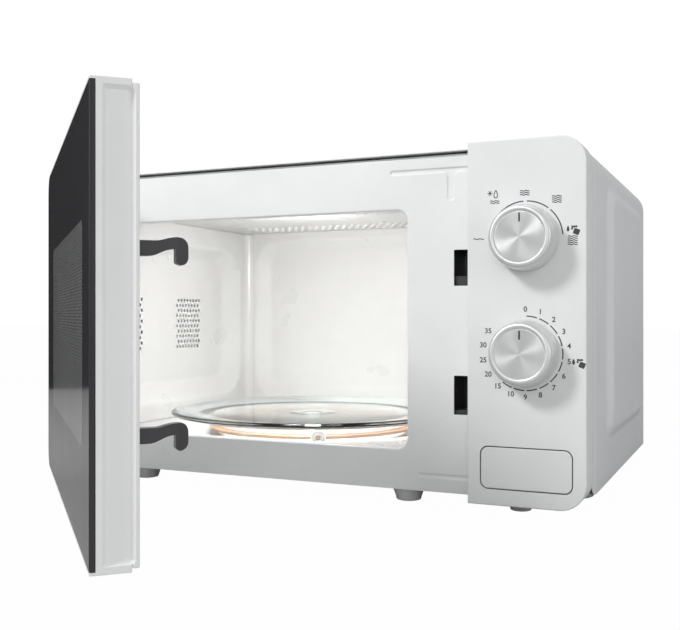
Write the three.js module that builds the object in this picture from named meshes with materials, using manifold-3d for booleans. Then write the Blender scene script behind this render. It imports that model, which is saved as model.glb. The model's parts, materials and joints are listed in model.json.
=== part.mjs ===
// Countertop microwave oven with a side-hinged door, standing half open.
// Millimetres, +Z up, the front faces -Y. Before the last line the frame is the cabinet's own:
// X = 0 in the middle of the casing, Y = 0 on the front plate's face, Z = 0 on the table.
import * as THREE from 'three';
import { mergeVertices } from 'three/addons/utils/BufferGeometryUtils.js';
import Module from 'manifold-3d';

const wasm = await Module();
wasm.setup();

// ---------------------------------------------------------------- driving dimensions
const overallWidth = 452;
const overallHeight = 257;
const casingDepth = 290;
const gap = 0.3;              // between pieces that touch
const sheet = 1;              // painted steel sheet
const plastic = 2.5;          // moulded wall

// stance
const frontBottom = 9;        // lower edge of the door and the control panel
const plateBottom = 9.8;      // lower edge of the front plate
const casingBottom = 14.9;    // lower edge of the casing's sides
const basePlateBottom = 12.4;
const baseFlange = 6;         // up-turned rim of the base plate
const casingRadius = 20;      // bend along the casing's top edges

// raised field pressed into each side of the casing
const fieldHeight = 4.5;
const fieldSlope = 10;
const fieldFront = 57;
const fieldRearMargin = 17;
const fieldBottom = 45.5;
const fieldTopMargin = 23;
const fieldRadius = 18;

// control panel and door
const panelWidth = 80.3;
const frontDepth = 26;        // from the front plate's face to the panel's front
const rearClearance = 1;      // behind the panel and the closed door
const cornerRadius = 18;
const doorGap = 2;            // between the door's free edge and the panel
const doorRestAngle = 45.15;  // how far open the door stands
const hingeInset = 10.8;      // pivot from the door's hinge side
const hingeForward = 11.2;    // pivot in front of the front plate
const hingePinRadius = 2.5;
const hingePinLength = 8;
const hingePlate = 2;
const hingeEndInset = 11;     // bracket plate from the door's ends
const runningClearance = 0.3;
const doorPane = 3;           // dark front pane
const paneRim = 2;            // frame edge around the pane
const coverThickness = 3.7;
const coverInset = 2;         // cover's top and bottom edge below the frame's
const edgeRecess = 1.5;       // channel along the door's free edge
const screenMargin = 12;      // screen beyond the view opening
const viewSide = 36;          // view opening from the door's hinge side
const viewFree = 64;          // view opening from the door's free edge
const viewBottom = 62;
const viewTopMargin = 57;
const chokeGap = 1.4;         // choke channel to the inner cover

// latch
const hookInset = 11.2;       // hooks' middle from the door's free edge
const hookThickness = 6.5;
const hookReach = 27;         // behind the door's back face
const hookHeight = 14.6;
const hookArm = 8;            // height of the arm
const noseLength = 7.5;
const lowerHookBottom = 67.5;
const hookPitch = 96.5;       // lower hook to upper hook
const latchLift = 4;
const latchCatch = 2.2;       // how far the nose hangs behind its ledge
const slotSideClearance = 1.3;
const slotSwing = 2.8;        // extra width for the swinging hook
const slotBelow = [0.9, 4.8];   // under the lower and the upper hook
const slotAbove = [12.5, 6.5];
const springRadius = 3.5;
const springWire = 0.9;
const springLength = 22;

// cooking cavity
const cavityLeftMargin = 18;  // casing's side to the cavity's left wall
const compartmentReach = 47.7; // cavity's right wall left of the control panel's edge
const cavityRearMargin = 7;
const cavityFloor = 36;
const cavityTopMargin = 27;
const openingSideLip = 6;     // opening's edge inside the cavity's walls
const openingBottomLip = 3.6;
const openingTopLip = 14.6;
const openingRadius = 8;
const openingFlange = 8;
const plateTopMargin = 4.5;   // front plate's top edge below the casing's top
const ceilingPanelInset = 40;
const ceilingPanelThickness = 3;

// turntable
const trayClearance = 10.5;   // tray to the nearest cavity walls
const trayRim = 8;            // height of the rim over the tray's underside
const trayThickness = 4.5;
const trayHub = 16;
const rollerRadius = 6.5;
const rollerWidth = 6;
const ringInset = 30;         // roller track inside the tray's edge
const floorWellInset = 12;    // floor well inside the tray's edge
const floorWellDepth = 6.5;
const rollerCount = 3;
const couplerRadius = 8;
const couplerBladeHeight = 2.4;
const turntableMotorRadius = 24.5;
const turntableMotorHeight = 12;

// knobs
const knobRadius = 22.3;
const knobFaceRadius = 16.6;
const knobDepth = 18;
const knobSkirt = 12;
const knobShaftRadius = 3;
const powerKnobTopMargin = 67.5;
const knobPitch = 76.9;
const unitWidth = 46;
const timerDepth = 40;
const selectorDepth = 24;
const shaftOverlap = 9;       // shaft's length inside the knob

// release button and lever
const buttonWidth = 61.3;
const buttonHeight = 27.9;
const buttonBottom = 20.7;
const buttonRadius = 5;
const buttonPlate = 3;
const buttonStem = 17;
const leverPivotHeight = 56;
const leverPivotDepth = 4;
const leverBar = 3;           // radius of the lever's axle

// high-voltage and cooling pieces
const waveguideDepth = 22;
const waveguideLength = 88;
const waveguideHeight = 62;
const waveguideFront = 96;
const magnetronWidth = 58;
const magnetronHeight = 78;
const magnetronLength = 80;
const antennaRadius = 8.5;
const antennaLength = 16;
const coreWidth = 74;
const coreLength = 66;
const coreHeight = 62;
const coilBulge = 9;
const capacitorWidth = 52;
const capacitorThickness = 32;
const capacitorLength = 84;
const fanRadius = 44;
const fanFrame = 104;
const fanBlades = 5;
const fanRearSpace = 28;      // fan plate to the back panel
const bushingRadius = 9;
const footRadius = 13;

// ---------------------------------------------------------------- derived places
const halfWidth = overallWidth / 2;
const panelLeft = halfWidth - panelWidth;
const doorRight = panelLeft - doorGap;
const doorLeft = -halfWidth;
const rearFace = -rearClearance;
const frontFace = -frontDepth;
const pivotX = doorLeft + hingeInset;
const pivotY = -hingeForward;

const cavityLeft = -halfWidth + cavityLeftMargin;
const cavityRight = panelLeft - compartmentReach;
const cavityBack = casingDepth - cavityRearMargin;
const cavityTop = overallHeight - cavityTopMargin;
const cavityX = (cavityLeft + cavityRight) / 2;
const cavityY = (sheet + gap + cavityBack) / 2;
const openingLeft = cavityLeft + openingSideLip;
const openingRight = cavityRight - openingSideLip;
const openingBottom = cavityFloor + openingBottomLip;
const openingTop = cavityTop - openingTopLip;
const plateTop = overallHeight - plateTopMargin;
const plateRight = panelLeft + plastic + 2;

const trayRadius = Math.min(cavityRight - cavityLeft, cavityBack) / 2 - trayClearance;
const ringRadius = trayRadius - ringInset;
const wellRadius = trayRadius - floorWellInset;
const wellFloor = cavityFloor - floorWellDepth;
const trayBottom = wellFloor + gap + 2 * rollerRadius + gap;

const hookX = doorRight - hookInset;
const hookBottoms = [lowerHookBottom, lowerHookBottom + hookPitch];
const slotLeft = hookX - hookThickness / 2 - slotSideClearance;
const slotRight = hookX + hookThickness / 2 + slotSwing;

const knobX = panelLeft + panelWidth / 2;
const powerZ = overallHeight - powerKnobTopMargin;
const timerZ = powerZ - knobPitch;

// ---------------------------------------------------------------- solids
// A geometry becomes a solid once only its positions are left and its corners are shared.
function solid(geometry) {
  const bare = geometry.index ? geometry.toNonIndexed() : geometry.clone();
  for (const name of Object.keys(bare.attributes)) {
    if (name !== 'position') bare.deleteAttribute(name);
  }
  const merged = mergeVertices(bare, 1e-4);
  const vertProperties = new Float32Array(merged.attributes.position.array);
  const triVerts = new Uint32Array(merged.index.array);
  return new wasm.Manifold(new wasm.Mesh({ numProp: 3, vertProperties, triVerts }));
}

function geometryOf(manifold) {
  const mesh = manifold.getMesh();
  const geometry = new THREE.BufferGeometry();
  geometry.setAttribute('position', new THREE.BufferAttribute(mesh.vertProperties, 3));
  geometry.setIndex(new THREE.BufferAttribute(mesh.triVerts, 1));
  geometry.computeVertexNormals();
  return geometry;
}

// join(a, b, ...) and cut(a, b, ...) take and give geometries.
function join(first, ...rest) {
  return geometryOf(rest.reduce((sum, next) => sum.add(solid(next)), solid(first)));
}

function cut(first, ...rest) {
  return geometryOf(rest.reduce((left, next) => left.subtract(solid(next)), solid(first)));
}

function intersect(first, second) {
  return geometryOf(solid(first).intersect(solid(second)));
}

function block(x0, x1, y0, y1, z0, z1) {
  const geometry = new THREE.BoxGeometry(x1 - x0, y1 - y0, z1 - z0);
  return geometry.translate((x0 + x1) / 2, (y0 + y1) / 2, (z0 + z1) / 2);
}

// Cylinders and cones by the axis that they lie along, from a start point.
function rodZ(radius, x, y, z0, z1, topRadius = radius, segments = 20) {
  const geometry = new THREE.CylinderGeometry(topRadius, radius, z1 - z0, segments);
  return geometry.rotateX(Math.PI / 2).translate(x, y, (z0 + z1) / 2);
}

function rodY(radius, x, z, y0, y1, rearRadius = radius, segments = 20) {
  const geometry = new THREE.CylinderGeometry(rearRadius, radius, y1 - y0, segments);
  return geometry.translate(x, (y0 + y1) / 2, z);
}

function rodX(radius, y, z, x0, x1, segments = 16) {
  const geometry = new THREE.CylinderGeometry(radius, radius, x1 - x0, segments);
  return geometry.rotateZ(-Math.PI / 2).translate((x0 + x1) / 2, y, z);
}

// A rectangle with its own radius at each corner: lower left, lower right, upper right, upper left.
function roundedRect(u0, u1, v0, v1, radii) {
  const four = Array.isArray(radii) ? radii : Array(4).fill(radii);
  const [lowerLeft, lowerRight, upperRight, upperLeft] = four;
  const shape = new THREE.Shape();
  const corner = (u, v, radius, start) => {
    if (radius > 0) shape.absarc(u, v, radius, start, start + Math.PI / 2, false);
    else shape.lineTo(u, v);
  };
  shape.moveTo(u0 + lowerLeft, v0);
  corner(u1 - lowerRight, v0 + lowerRight, lowerRight, -Math.PI / 2);
  corner(u1 - upperRight, v1 - upperRight, upperRight, 0);
  corner(u0 + upperLeft, v1 - upperLeft, upperLeft, Math.PI / 2);
  corner(u0 + lowerLeft, v0 + lowerLeft, lowerLeft, Math.PI);
  return shape;
}

// An outline in X and Z pushed along Y, and one in X and Y pushed along Z.
function slabY(shape, y0, y1, curveSegments = 5) {
  const geometry = new THREE.ExtrudeGeometry(shape, { depth: y1 - y0, bevelEnabled: false, curveSegments });
  return geometry.rotateX(Math.PI / 2).translate(0, y1, 0);
}

function slabZ(shape, z0, z1, curveSegments = 5) {
  const geometry = new THREE.ExtrudeGeometry(shape, { depth: z1 - z0, bevelEnabled: false, curveSegments });
  return geometry.translate(0, 0, z0);
}

// An outline in Y and Z pushed along X.
function slabX(shape, x0, x1, curveSegments = 5) {
  const geometry = new THREE.ExtrudeGeometry(shape, { depth: x1 - x0, bevelEnabled: false, curveSegments });
  return geometry.rotateX(Math.PI / 2).rotateZ(Math.PI / 2).translate(x0, 0, 0);
}

function lathe(profile, segments = 48) {
  const points = profile.map(([radius, height]) => new THREE.Vector2(radius, height));
  return new THREE.LatheGeometry(points, segments).rotateX(Math.PI / 2);
}

// ---------------------------------------------------------------- materials
const finishes = {
  whitePaint: [0xe9eaeb, 0.38, 0.0],
  whitePlastic: [0xf0f0f0, 0.42, 0.0],
  greyEdge: [0xcfd1d1, 0.5, 0.0],
  cavityPaint: [0xf2f3f3, 0.3, 0.0],
  darkPane: [0x3b3b3d, 0.22, 0.0],
  blackPlastic: [0x37383a, 0.5, 0.0],
  zinc: [0xb9bcbe, 0.42, 0.9],
  spunAluminium: [0xc9cacb, 0.32, 1.0],
  copper: [0xb4693c, 0.35, 0.9],
  laminations: [0x5a5c60, 0.55, 0.7],
  glass: [0xdfe8e6, 0.05, 0.0],
  greyRubber: [0x8d9190, 0.7, 0.0],
  mica: [0xb9a98a, 0.55, 0.0],
  board: [0x8a7a3a, 0.6, 0.0],
};

function place(group, name, finish, geometry) {
  const [color, roughness, metalness] = finishes[finish];
  const material = new THREE.MeshStandardMaterial({ color, roughness, metalness });
  const mesh = new THREE.Mesh(geometry, material);
  mesh.name = name;
  group.add(mesh);
  return mesh;
}

// ---------------------------------------------------------------- casing and chassis
// A raised field on one side wall: a rounded rectangle that narrows outwards.
function raisedField(side, lift) {
  const outer = fieldRadius;
  const inner = fieldRadius - fieldSlope / 2;
  const y0 = fieldFront;
  const y1 = casingDepth - fieldRearMargin;
  const z0 = fieldBottom;
  const z1 = overallHeight - fieldTopMargin;
  const steps = 5;
  const low = roundedRect(y0, y1, z0, z1, outer).getPoints(steps);
  const high = roundedRect(y0 + fieldSlope, y1 - fieldSlope, z0 + fieldSlope, z1 - fieldSlope, inner)
    .getPoints(steps);
  return loft(low, high, side * (halfWidth - sheet / 2 - lift), side * (halfWidth + fieldHeight - lift));
}

// A closed solid between two outlines of equal point count, at two values of X.
function loft(low, high, xLow, xHigh) {
  const open = (points) => (points[0].equals(points.at(-1)) ? points.slice(0, -1) : points);
  const [first, second] = [open(low), open(high)];
  const count = first.length;
  const positions = [];
  const at = (points, x) => points.map((point) => positions.push(x, point.x, point.y));
  at(first, xLow);
  at(second, xHigh);
  const faces = [];
  const flip = xHigh > xLow ? 1 : -1;
  const face = (a, b, c) => faces.push(...(flip > 0 ? [a, b, c] : [a, c, b]));
  for (let i = 0; i < count; i += 1) {
    const j = (i + 1) % count;
    face(i, j, count + j);
    face(i, count + j, count + i);
  }
  for (const [a, b, c] of THREE.ShapeUtils.triangulateShape(first, [])) face(a, c, b);
  for (const [a, b, c] of THREE.ShapeUtils.triangulateShape(second, [])) {
    face(count + a, count + b, count + c);
  }
  const geometry = new THREE.BufferGeometry();
  geometry.setAttribute('position', new THREE.Float32BufferAttribute(positions, 3));
  geometry.setIndex(faces);
  return geometry;
}

function outerCasing() {
  const outline = (offset, bottom) => roundedRect(
    -halfWidth + offset, halfWidth - offset, bottom, overallHeight - offset,
    [0, 0, casingRadius - offset, casingRadius - offset],
  );
  const shell = cut(
    slabY(outline(0, casingBottom), 0, casingDepth),
    slabY(outline(sheet, casingBottom - 1), -1, casingDepth + 1),
  );
  const sides = [-1, 1];
  const raised = join(shell, ...sides.map((side) => raisedField(side, 0)));
  return cut(raised, ...sides.map((side) => raisedField(side, sheet * 1.2)));
}

function backPanel() {
  const inset = sheet + gap;
  const outline = roundedRect(
    -halfWidth + inset, halfWidth - inset, casingBottom, overallHeight - inset,
    [0, 0, casingRadius - inset, casingRadius - inset],
  );
  const slots = [];
  for (let row = 0; row < 7; row += 1) {
    const z = overallHeight - 60 - row * 14;
    for (const x of [cavityRight + 22, cavityRight + 68]) {
      slots.push(block(x, x + 38, casingDepth - 3, casingDepth + 1, z - 3, z + 3));
    }
  }
  return cut(
    slabY(outline, casingDepth - sheet, casingDepth),
    ...slots,
    rodY(bushingRadius - 2, halfWidth - 30, casingBottom + 22, casingDepth - 3, casingDepth + 3),
  );
}

function basePlate() {
  const edge = halfWidth - sheet - gap;
  const y0 = sheet + gap;
  const y1 = casingDepth - sheet - gap;
  const tray = cut(
    block(-edge, edge, y0, y1, basePlateBottom, basePlateBottom + baseFlange),
    block(-edge + sheet, edge - sheet, y0 + sheet, y1 - sheet, basePlateBottom + sheet, 90),
  );
  const vents = [];
  for (let row = 0; row < 5; row += 1) {
    const y = casingDepth * 0.3 + row * 12;
    vents.push(block(cavityRight + 30, cavityRight + 100, y, y + 4, 0, 20));
  }
  return cut(tray, ...vents);
}

// The steel front: one sheet with the oven opening, the two latch slots and the hinge slits.
function frontPlate() {
  const opening = (offset, y0, y1) => slabY(roundedRect(
    openingLeft - offset, openingRight + offset, openingBottom - offset, openingTop + offset,
    openingRadius + offset,
  ), y0, y1);
  const edge = halfWidth - sheet - 0.5;
  const outline = roundedRect(-edge, plateRight, plateBottom, plateTop, [0, 0, 0, casingRadius]);
  const plate = join(slabY(outline, 0, sheet), opening(sheet, 0, openingFlange));
  const slots = hookBottoms.map((bottom, i) => block(
    slotLeft, slotRight, -2, 4, bottom - slotBelow[i], bottom + hookHeight + slotAbove[i],
  ));
  const slits = [bracketZ(-1), bracketZ(1)].map((z) => block(
    pivotX - 6.6, pivotX + 6.6, -2, 4, z - hingePlate / 2 - 0.4, z + hingePlate / 2 + 0.4,
  ));
  return cut(plate, opening(0, -1, openingFlange + 1), ...slots, ...slits);
}

function bracketZ(end) {
  return end > 0 ? overallHeight - hingeEndInset : frontBottom + hingeEndInset;
}

// Hinge bracket: a tab behind the front plate, a tongue through it, and the door's pin.
function hingeBracket(end) {
  const z = bracketZ(end);
  const half = hingePlate / 2;
  const tongue = join(
    block(pivotX - 6, pivotX + 5.6, pivotY, sheet + gap + 1, z - half, z + half),
    rodZ(6, pivotX, pivotY, z - half, z + half),
  );
  const inner = z - end * 24;
  const tab = block(
    pivotX - 6, pivotX + 5.6, sheet + gap, sheet + gap + 1.5,
    Math.min(z - half, inner), Math.max(z + half, inner),
  );
  const pin = end > 0
    ? rodZ(hingePinRadius, pivotX, pivotY, z, z + half + hingePinLength)
    : rodZ(hingePinRadius, pivotX, pivotY, z - half - hingePinLength, z);
  return join(tongue, tab, pin);
}

function foot(x, y, radius) {
  const top = basePlateBottom - gap;
  return rodZ(radius * 0.72, x, y, 0, top, radius, 20);
}

function buildChassis(group) {
  place(group, 'outer_casing', 'whitePaint', outerCasing());
  place(group, 'back_panel', 'zinc', backPanel());
  place(group, 'base_plate', 'zinc', basePlate());
  place(group, 'front_plate', 'whitePaint', frontPlate());
  place(group, 'hinge_top', 'zinc', hingeBracket(1));
  place(group, 'hinge_bottom', 'zinc', hingeBracket(-1));
  const frontRow = footRadius + 2;
  const rearRow = casingDepth - 22;
  const feet = {
    foot_front_left: [-halfWidth + 76, frontRow, footRadius],
    foot_front_middle: [cavityRight - 10, frontRow, footRadius],
    foot_front_right: [halfWidth - 52, frontRow - 4, footRadius * 0.75],
    foot_rear_left: [-halfWidth + 76, rearRow, footRadius],
    foot_rear_right: [halfWidth - 52, rearRow, footRadius],
  };
  for (const [name, [x, y, radius]] of Object.entries(feet)) {
    place(group, name, 'greyRubber', foot(x, y, radius));
  }
  place(group, 'cord_bushing', 'blackPlastic', cordBushing());
}

// Flanged ring in the back panel where the supply lead would pass.
function cordBushing() {
  const x = halfWidth - 30;
  const z = casingBottom + 22;
  const neck = bushingRadius - 2 - gap;
  const ring = join(
    rodY(bushingRadius, x, z, casingDepth + gap, casingDepth + 3),
    rodY(neck, x, z, casingDepth - 5, casingDepth + 1),
  );
  return cut(ring, rodY(3.6, x, z, casingDepth - 6, casingDepth + 5));
}

// ---------------------------------------------------------------- cooking cavity
const wallFront = sheet + gap;
const wallBack = cavityBack - gap;
const guideBottom = cavityTop - 18 - waveguideHeight;
const guideTop = cavityTop - 18;
const guideBack = waveguideFront + waveguideLength;

function cavityFloorPan() {
  const bend = sheet;
  const dish = rodZ(wellRadius, cavityX, cavityY, wellFloor - bend, cavityFloor, wellRadius, 36);
  const slabTop = block(
    cavityLeft - bend, cavityRight + bend, wallFront, wallBack, cavityFloor - bend, cavityFloor,
  );
  return cut(
    join(slabTop, dish),
    rodZ(wellRadius - bend, cavityX, cavityY, wellFloor, cavityFloor + 5, wellRadius - bend, 36),
    rodZ(couplerRadius + 2, cavityX, cavityY, 0, cavityFloor),
  );
}

function buildCavity(group) {
  const z0 = cavityFloor + gap;
  const z1 = cavityTop - gap;
  place(group, 'cavity_floor', 'cavityPaint', cavityFloorPan());
  place(group, 'cavity_left_wall', 'cavityPaint', block(
    cavityLeft - sheet, cavityLeft, wallFront, wallBack, z0, z1,
  ));
  const port = block(
    cavityRight - 1, cavityRight + 3, waveguideFront + 4, guideBack - 4, guideBottom + 4, guideTop - 4,
  );
  const lampPort = rodX(7, lampY, lampZ, cavityRight - 1, cavityRight + 3);
  place(group, 'cavity_right_wall', 'cavityPaint', cut(
    block(cavityRight, cavityRight + sheet, wallFront, wallBack, z0, z1), port, lampPort,
  ));
  place(group, 'cavity_back_wall', 'cavityPaint', block(
    cavityLeft - sheet, cavityRight + sheet, cavityBack, cavityBack + sheet,
    cavityFloor - sheet, cavityTop + sheet,
  ));
  place(group, 'cavity_ceiling', 'cavityPaint', block(
    cavityLeft - sheet, cavityRight + sheet, wallFront, wallBack, cavityTop, cavityTop + sheet,
  ));
  place(group, 'ceiling_panel', 'cavityPaint', slabZ(roundedRect(
    cavityLeft + ceilingPanelInset, cavityRight - ceilingPanelInset,
    wallFront + ceilingPanelInset, wallBack - ceilingPanelInset, 16,
  ), z1 - ceilingPanelThickness, z1, 4));
  place(group, 'waveguide_cover', 'mica', block(
    cavityRight - gap - 0.6, cavityRight - gap, waveguideFront, guideBack, guideBottom, guideTop,
  ));
  place(group, 'oven_lamp', 'glass', ovenLamp());
  place(group, 'lamp_holder', 'whitePlastic', lampHolder());
  place(group, 'thermal_cutout', 'blackPlastic', join(
    rodZ(8, cavityX + 90, cavityY, cavityTop + sheet + gap, cavityTop + sheet + 7),
    block(
      cavityX + 78, cavityX + 102, cavityY - 3, cavityY + 3, cavityTop + sheet + gap, cavityTop + sheet + 2,
    ),
  ));
}

const lampY = 62;
const lampZ = overallHeight - 62;

function ovenLamp() {
  const start = cavityRight + sheet + gap;
  return join(
    new THREE.SphereGeometry(9, 12, 8).translate(start + 9.2, lampY, lampZ),
    rodX(5, lampY, lampZ, start + 12, start + 26),
  );
}

function lampHolder() {
  const x = cavityRight + sheet + gap + 22;
  return cut(
    block(x, x + 16, lampY - 11, lampY + 11, lampZ - 11, lampZ + 11),
    rodX(5 + gap, lampY, lampZ, x - 1, x + 6),
  );
}

// ---------------------------------------------------------------- power and cooling
const guideLeft = cavityRight + sheet + gap;
const tubeLeft = guideLeft + waveguideDepth + gap;
const tubeFront = waveguideFront + (waveguideLength - magnetronLength) / 2;
const tubeBottom = guideBottom - 14;

function waveguideBox() {
  const wall = 1.2;
  return cut(
    block(guideLeft, guideLeft + waveguideDepth, waveguideFront, guideBack, guideBottom, guideTop),
    block(
      guideLeft - 1, guideLeft + waveguideDepth - wall, waveguideFront + wall, guideBack - wall,
      guideBottom + wall, guideTop - wall,
    ),
    rodX(antennaRadius + 2, antennaY, antennaZ, guideLeft, guideLeft + waveguideDepth + 2),
  );
}

const antennaY = waveguideFront + waveguideLength / 2;
const antennaZ = (guideBottom + guideTop) / 2;

// Cooling fins between two yoke plates, with the antenna dome on the cavity side.
function magnetron() {
  const x1 = tubeLeft + magnetronWidth;
  const y1 = tubeFront + magnetronLength;
  const body = block(tubeLeft, x1, tubeFront, y1, tubeBottom, tubeBottom + magnetronHeight);
  const grooves = [];
  const fins = 7;
  for (let i = 0; i < fins; i += 1) {
    const x = tubeLeft + 6 + i * ((magnetronWidth - 12) / fins);
    for (const y of [tubeFront - 1, y1 - 17]) {
      grooves.push(block(x, x + 4.4, y, y + 18, tubeBottom + 6, tubeBottom + magnetronHeight - 6));
    }
  }
  const antenna = rodX(antennaRadius, antennaY, antennaZ, tubeLeft - antennaLength, tubeLeft + 2);
  return join(cut(body, ...grooves), antenna);
}

const coreX = cavityRight + 66;
const coreBack = casingDepth - 40;
const coreFront = coreBack - coreLength;
const coreBottom = basePlateBottom + sheet + gap;
const windowWidth = coreWidth / 4 - 2;
const windowHeight = coreHeight - 30;

function transformerCore() {
  const legs = [-1, 1].map((side) => {
    const middle = coreX + side * (coreWidth / 4 - 0.5);
    return block(
      middle - windowWidth / 2, middle + windowWidth / 2, coreFront - 1, coreBack + 1,
      coreBottom + 15, coreBottom + 15 + windowHeight,
    );
  });
  return cut(block(
    coreX - coreWidth / 2, coreX + coreWidth / 2, coreFront, coreBack, coreBottom, coreBottom + coreHeight,
  ), ...legs);
}

// A winding around the core's middle leg, one above the other in its windows.
function winding(z0, z1) {
  const inner = coreX - (coreWidth / 4 - 0.5) + windowWidth / 2;
  const legHalf = coreX - inner;
  const reach = legHalf + windowWidth - 2 * gap;
  const outline = (half, bulge) => slabZ(roundedRect(
    coreX - half, coreX + half, coreFront - bulge, coreBack + bulge, Math.min(half, 6),
  ), z0, z1, 4);
  return cut(
    outline(reach, coilBulge),
    block(coreX - legHalf - gap, coreX + legHalf + gap, coreFront - gap, coreBack + gap, z0 - 1, z1 + 1),
  );
}

function capacitorCan() {
  const x0 = coreX - capacitorWidth / 2;
  const y1 = coreFront - coilBulge - 8;
  const z0 = coreBottom;
  const outline = roundedRect(x0, x0 + capacitorWidth, z0, z0 + capacitorThickness, 15);
  const can = slabY(outline, y1 - capacitorLength, y1);
  const tabs = [-1, 1].map((side) => block(
    coreX + side * 10 - 3, coreX + side * 10 + 3, y1 - capacitorLength - 8, y1 - capacitorLength + 1,
    z0 + 15, z0 + 16,
  ));
  return join(can, ...tabs);
}

function diodeBody() {
  const z = coreBottom + capacitorThickness + gap + 3;
  const y = coreFront - coilBulge - 8 - capacitorLength / 2;
  return join(
    rodY(3, coreX, z, y - 9, y + 9, 3, 14),
    rodY(0.7, coreX, z, y - 20, y + 20, 0.7, 8),
  );
}

const fanX = cavityRight + 66;
const fanZ = overallHeight - fanFrame / 2 - 12;
const fanPlateY = casingDepth - fanRearSpace;

function fanBracket() {
  const half = fanFrame / 2;
  const plate = join(
    block(fanX - half, fanX + half, fanPlateY, fanPlateY + 1.5, fanZ - half, fanZ + half),
    rodY(fanRadius + 4, fanX, fanZ, fanPlateY - 13, fanPlateY + 1, fanRadius + 4, 28),
  );
  return cut(plate, rodY(fanRadius + 2, fanX, fanZ, fanPlateY - 14, fanPlateY + 3, fanRadius + 2, 28));
}

function fanMotor() {
  const y0 = fanPlateY + 1.5 + gap;
  const straps = [-14, 14].map((z) => block(
    fanX - fanRadius - 8, fanX + fanRadius + 8, y0, y0 + 2, fanZ + z - 4, fanZ + z + 4,
  ));
  return join(
    block(fanX - 24, fanX + 24, y0 + 1.5, y0 + 19, fanZ - 26, fanZ + 26),
    ...straps,
    rodY(9, fanX, fanZ, y0 - 1, y0 + 3),
  );
}

function fanBlade() {
  const y1 = fanPlateY - gap;
  const hub = rodY(11, fanX, fanZ, y1 - 11, y1);
  const blades = [];
  for (let i = 0; i < fanBlades; i += 1) {
    const blade = new THREE.BoxGeometry(17, 1.4, fanRadius - 8);
    blade.rotateZ(0.42).translate(0, 0, 8 + (fanRadius - 8) / 2);
    blade.rotateY((i * 2 * Math.PI) / fanBlades).translate(fanX, y1 - 5.5, fanZ);
    blades.push(blade);
  }
  return join(hub, ...blades);
}

// Board with a choke ring, a fuse and a capacitor, under the casing's top.
function noiseFilter() {
  const x0 = cavityRight + 34;
  const y0 = 104;
  const z0 = guideTop + 12;
  return join(
    block(x0, x0 + 66, y0, y0 + 60, z0, z0 + 1.6),
    rodZ(9, x0 + 16, y0 + 20, z0 + 1, z0 + 12),
    block(x0 + 32, x0 + 56, y0 + 8, y0 + 20, z0 + 1, z0 + 11),
    block(x0 + 30, x0 + 58, y0 + 36, y0 + 44, z0 + 1, z0 + 8),
  );
}

function buildPower(group) {
  place(group, 'waveguide', 'zinc', waveguideBox());
  place(group, 'magnetron', 'zinc', magnetron());
  place(group, 'transformer_core', 'laminations', transformerCore());
  const coilBottom = coreBottom + 15 + gap;
  const coilMiddle = coilBottom + windowHeight * 0.45;
  place(group, 'primary_coil', 'copper', winding(coilBottom, coilMiddle));
  place(group, 'secondary_coil', 'copper', winding(coilMiddle + gap, coilBottom + windowHeight - 2 * gap));
  place(group, 'high_voltage_capacitor', 'zinc', capacitorCan());
  place(group, 'high_voltage_diode', 'blackPlastic', diodeBody());
  place(group, 'fan_bracket', 'zinc', fanBracket());
  place(group, 'fan_motor', 'laminations', fanMotor());
  place(group, 'fan_blade', 'whitePlastic', fanBlade());
  place(group, 'noise_filter_board', 'board', noiseFilter());
}

// ---------------------------------------------------------------- turntable
function glassTray() {
  const r = trayRadius;
  const z = trayBottom;
  const t = trayThickness;
  const hub = couplerRadius + 0.6;
  return lathe([
    [0, z + 3.4], [hub, z + 3.4], [hub, z - 1.4], [trayHub, z - 1.4], [trayHub + 3, z],
    [r - 7, z], [r - 1.5, z + 2.6], [r, z + trayRim - 1.2], [r - 1.2, z + trayRim],
    [r - 3, z + trayRim - 1], [r - 4.5, z + t + 0.6], [r - 9, z + t], [0, z + t],
  ], 36).translate(cavityX, cavityY, 0);
}

const axleZ = wellFloor + gap + rollerRadius;

function rollerRing() {
  const inner = ringRadius - rollerWidth / 2 - 9;
  const ring = cut(
    rodZ(inner + 5, cavityX, cavityY, axleZ - 3, axleZ + 3, inner + 5, 32),
    rodZ(inner, cavityX, cavityY, axleZ - 5, axleZ + 5, inner, 32),
  );
  const axles = rollerAngles().map((angle) => {
    const axle = rodX(2, 0, axleZ, inner + 2, ringRadius + rollerWidth / 2 - 0.5, 12);
    return axle.rotateZ(angle).translate(cavityX, cavityY, 0);
  });
  return join(ring, ...axles);
}

function rollerAngles() {
  const first = -Math.PI / 2 + 0.5;
  return Array.from({ length: rollerCount }, (_, i) => first + (i * 2 * Math.PI) / rollerCount);
}

function roller(angle) {
  const wheel = cut(
    rodX(rollerRadius, 0, axleZ, ringRadius - rollerWidth / 2, ringRadius + rollerWidth / 2, 24),
    rodX(2 + runningClearance, 0, axleZ, ringRadius - rollerWidth, ringRadius + rollerWidth, 16),
  );
  return wheel.rotateZ(angle).translate(cavityX, cavityY, 0);
}

// Three-bladed driver on the motor's shaft, which lifts the tray's hub round.
function driveCoupler() {
  const top = trayBottom - 1.4 - gap;
  const z0 = wellFloor - sheet - 1.2;
  const blades = [0, 1, 2].map((i) => {
    const blade = block(0, couplerRadius - 0.6, -1.6, 1.6, top - 1, trayBottom + 3.4 - gap);
    return blade.rotateZ((i * 2 * Math.PI) / 3).translate(cavityX, cavityY, 0);
  });
  return join(
    rodZ(couplerRadius - 0.4, cavityX, cavityY, z0, top),
    rodZ(2.6, cavityX, cavityY, top - 1, top + couplerBladeHeight),
    ...blades,
  );
}

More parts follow.
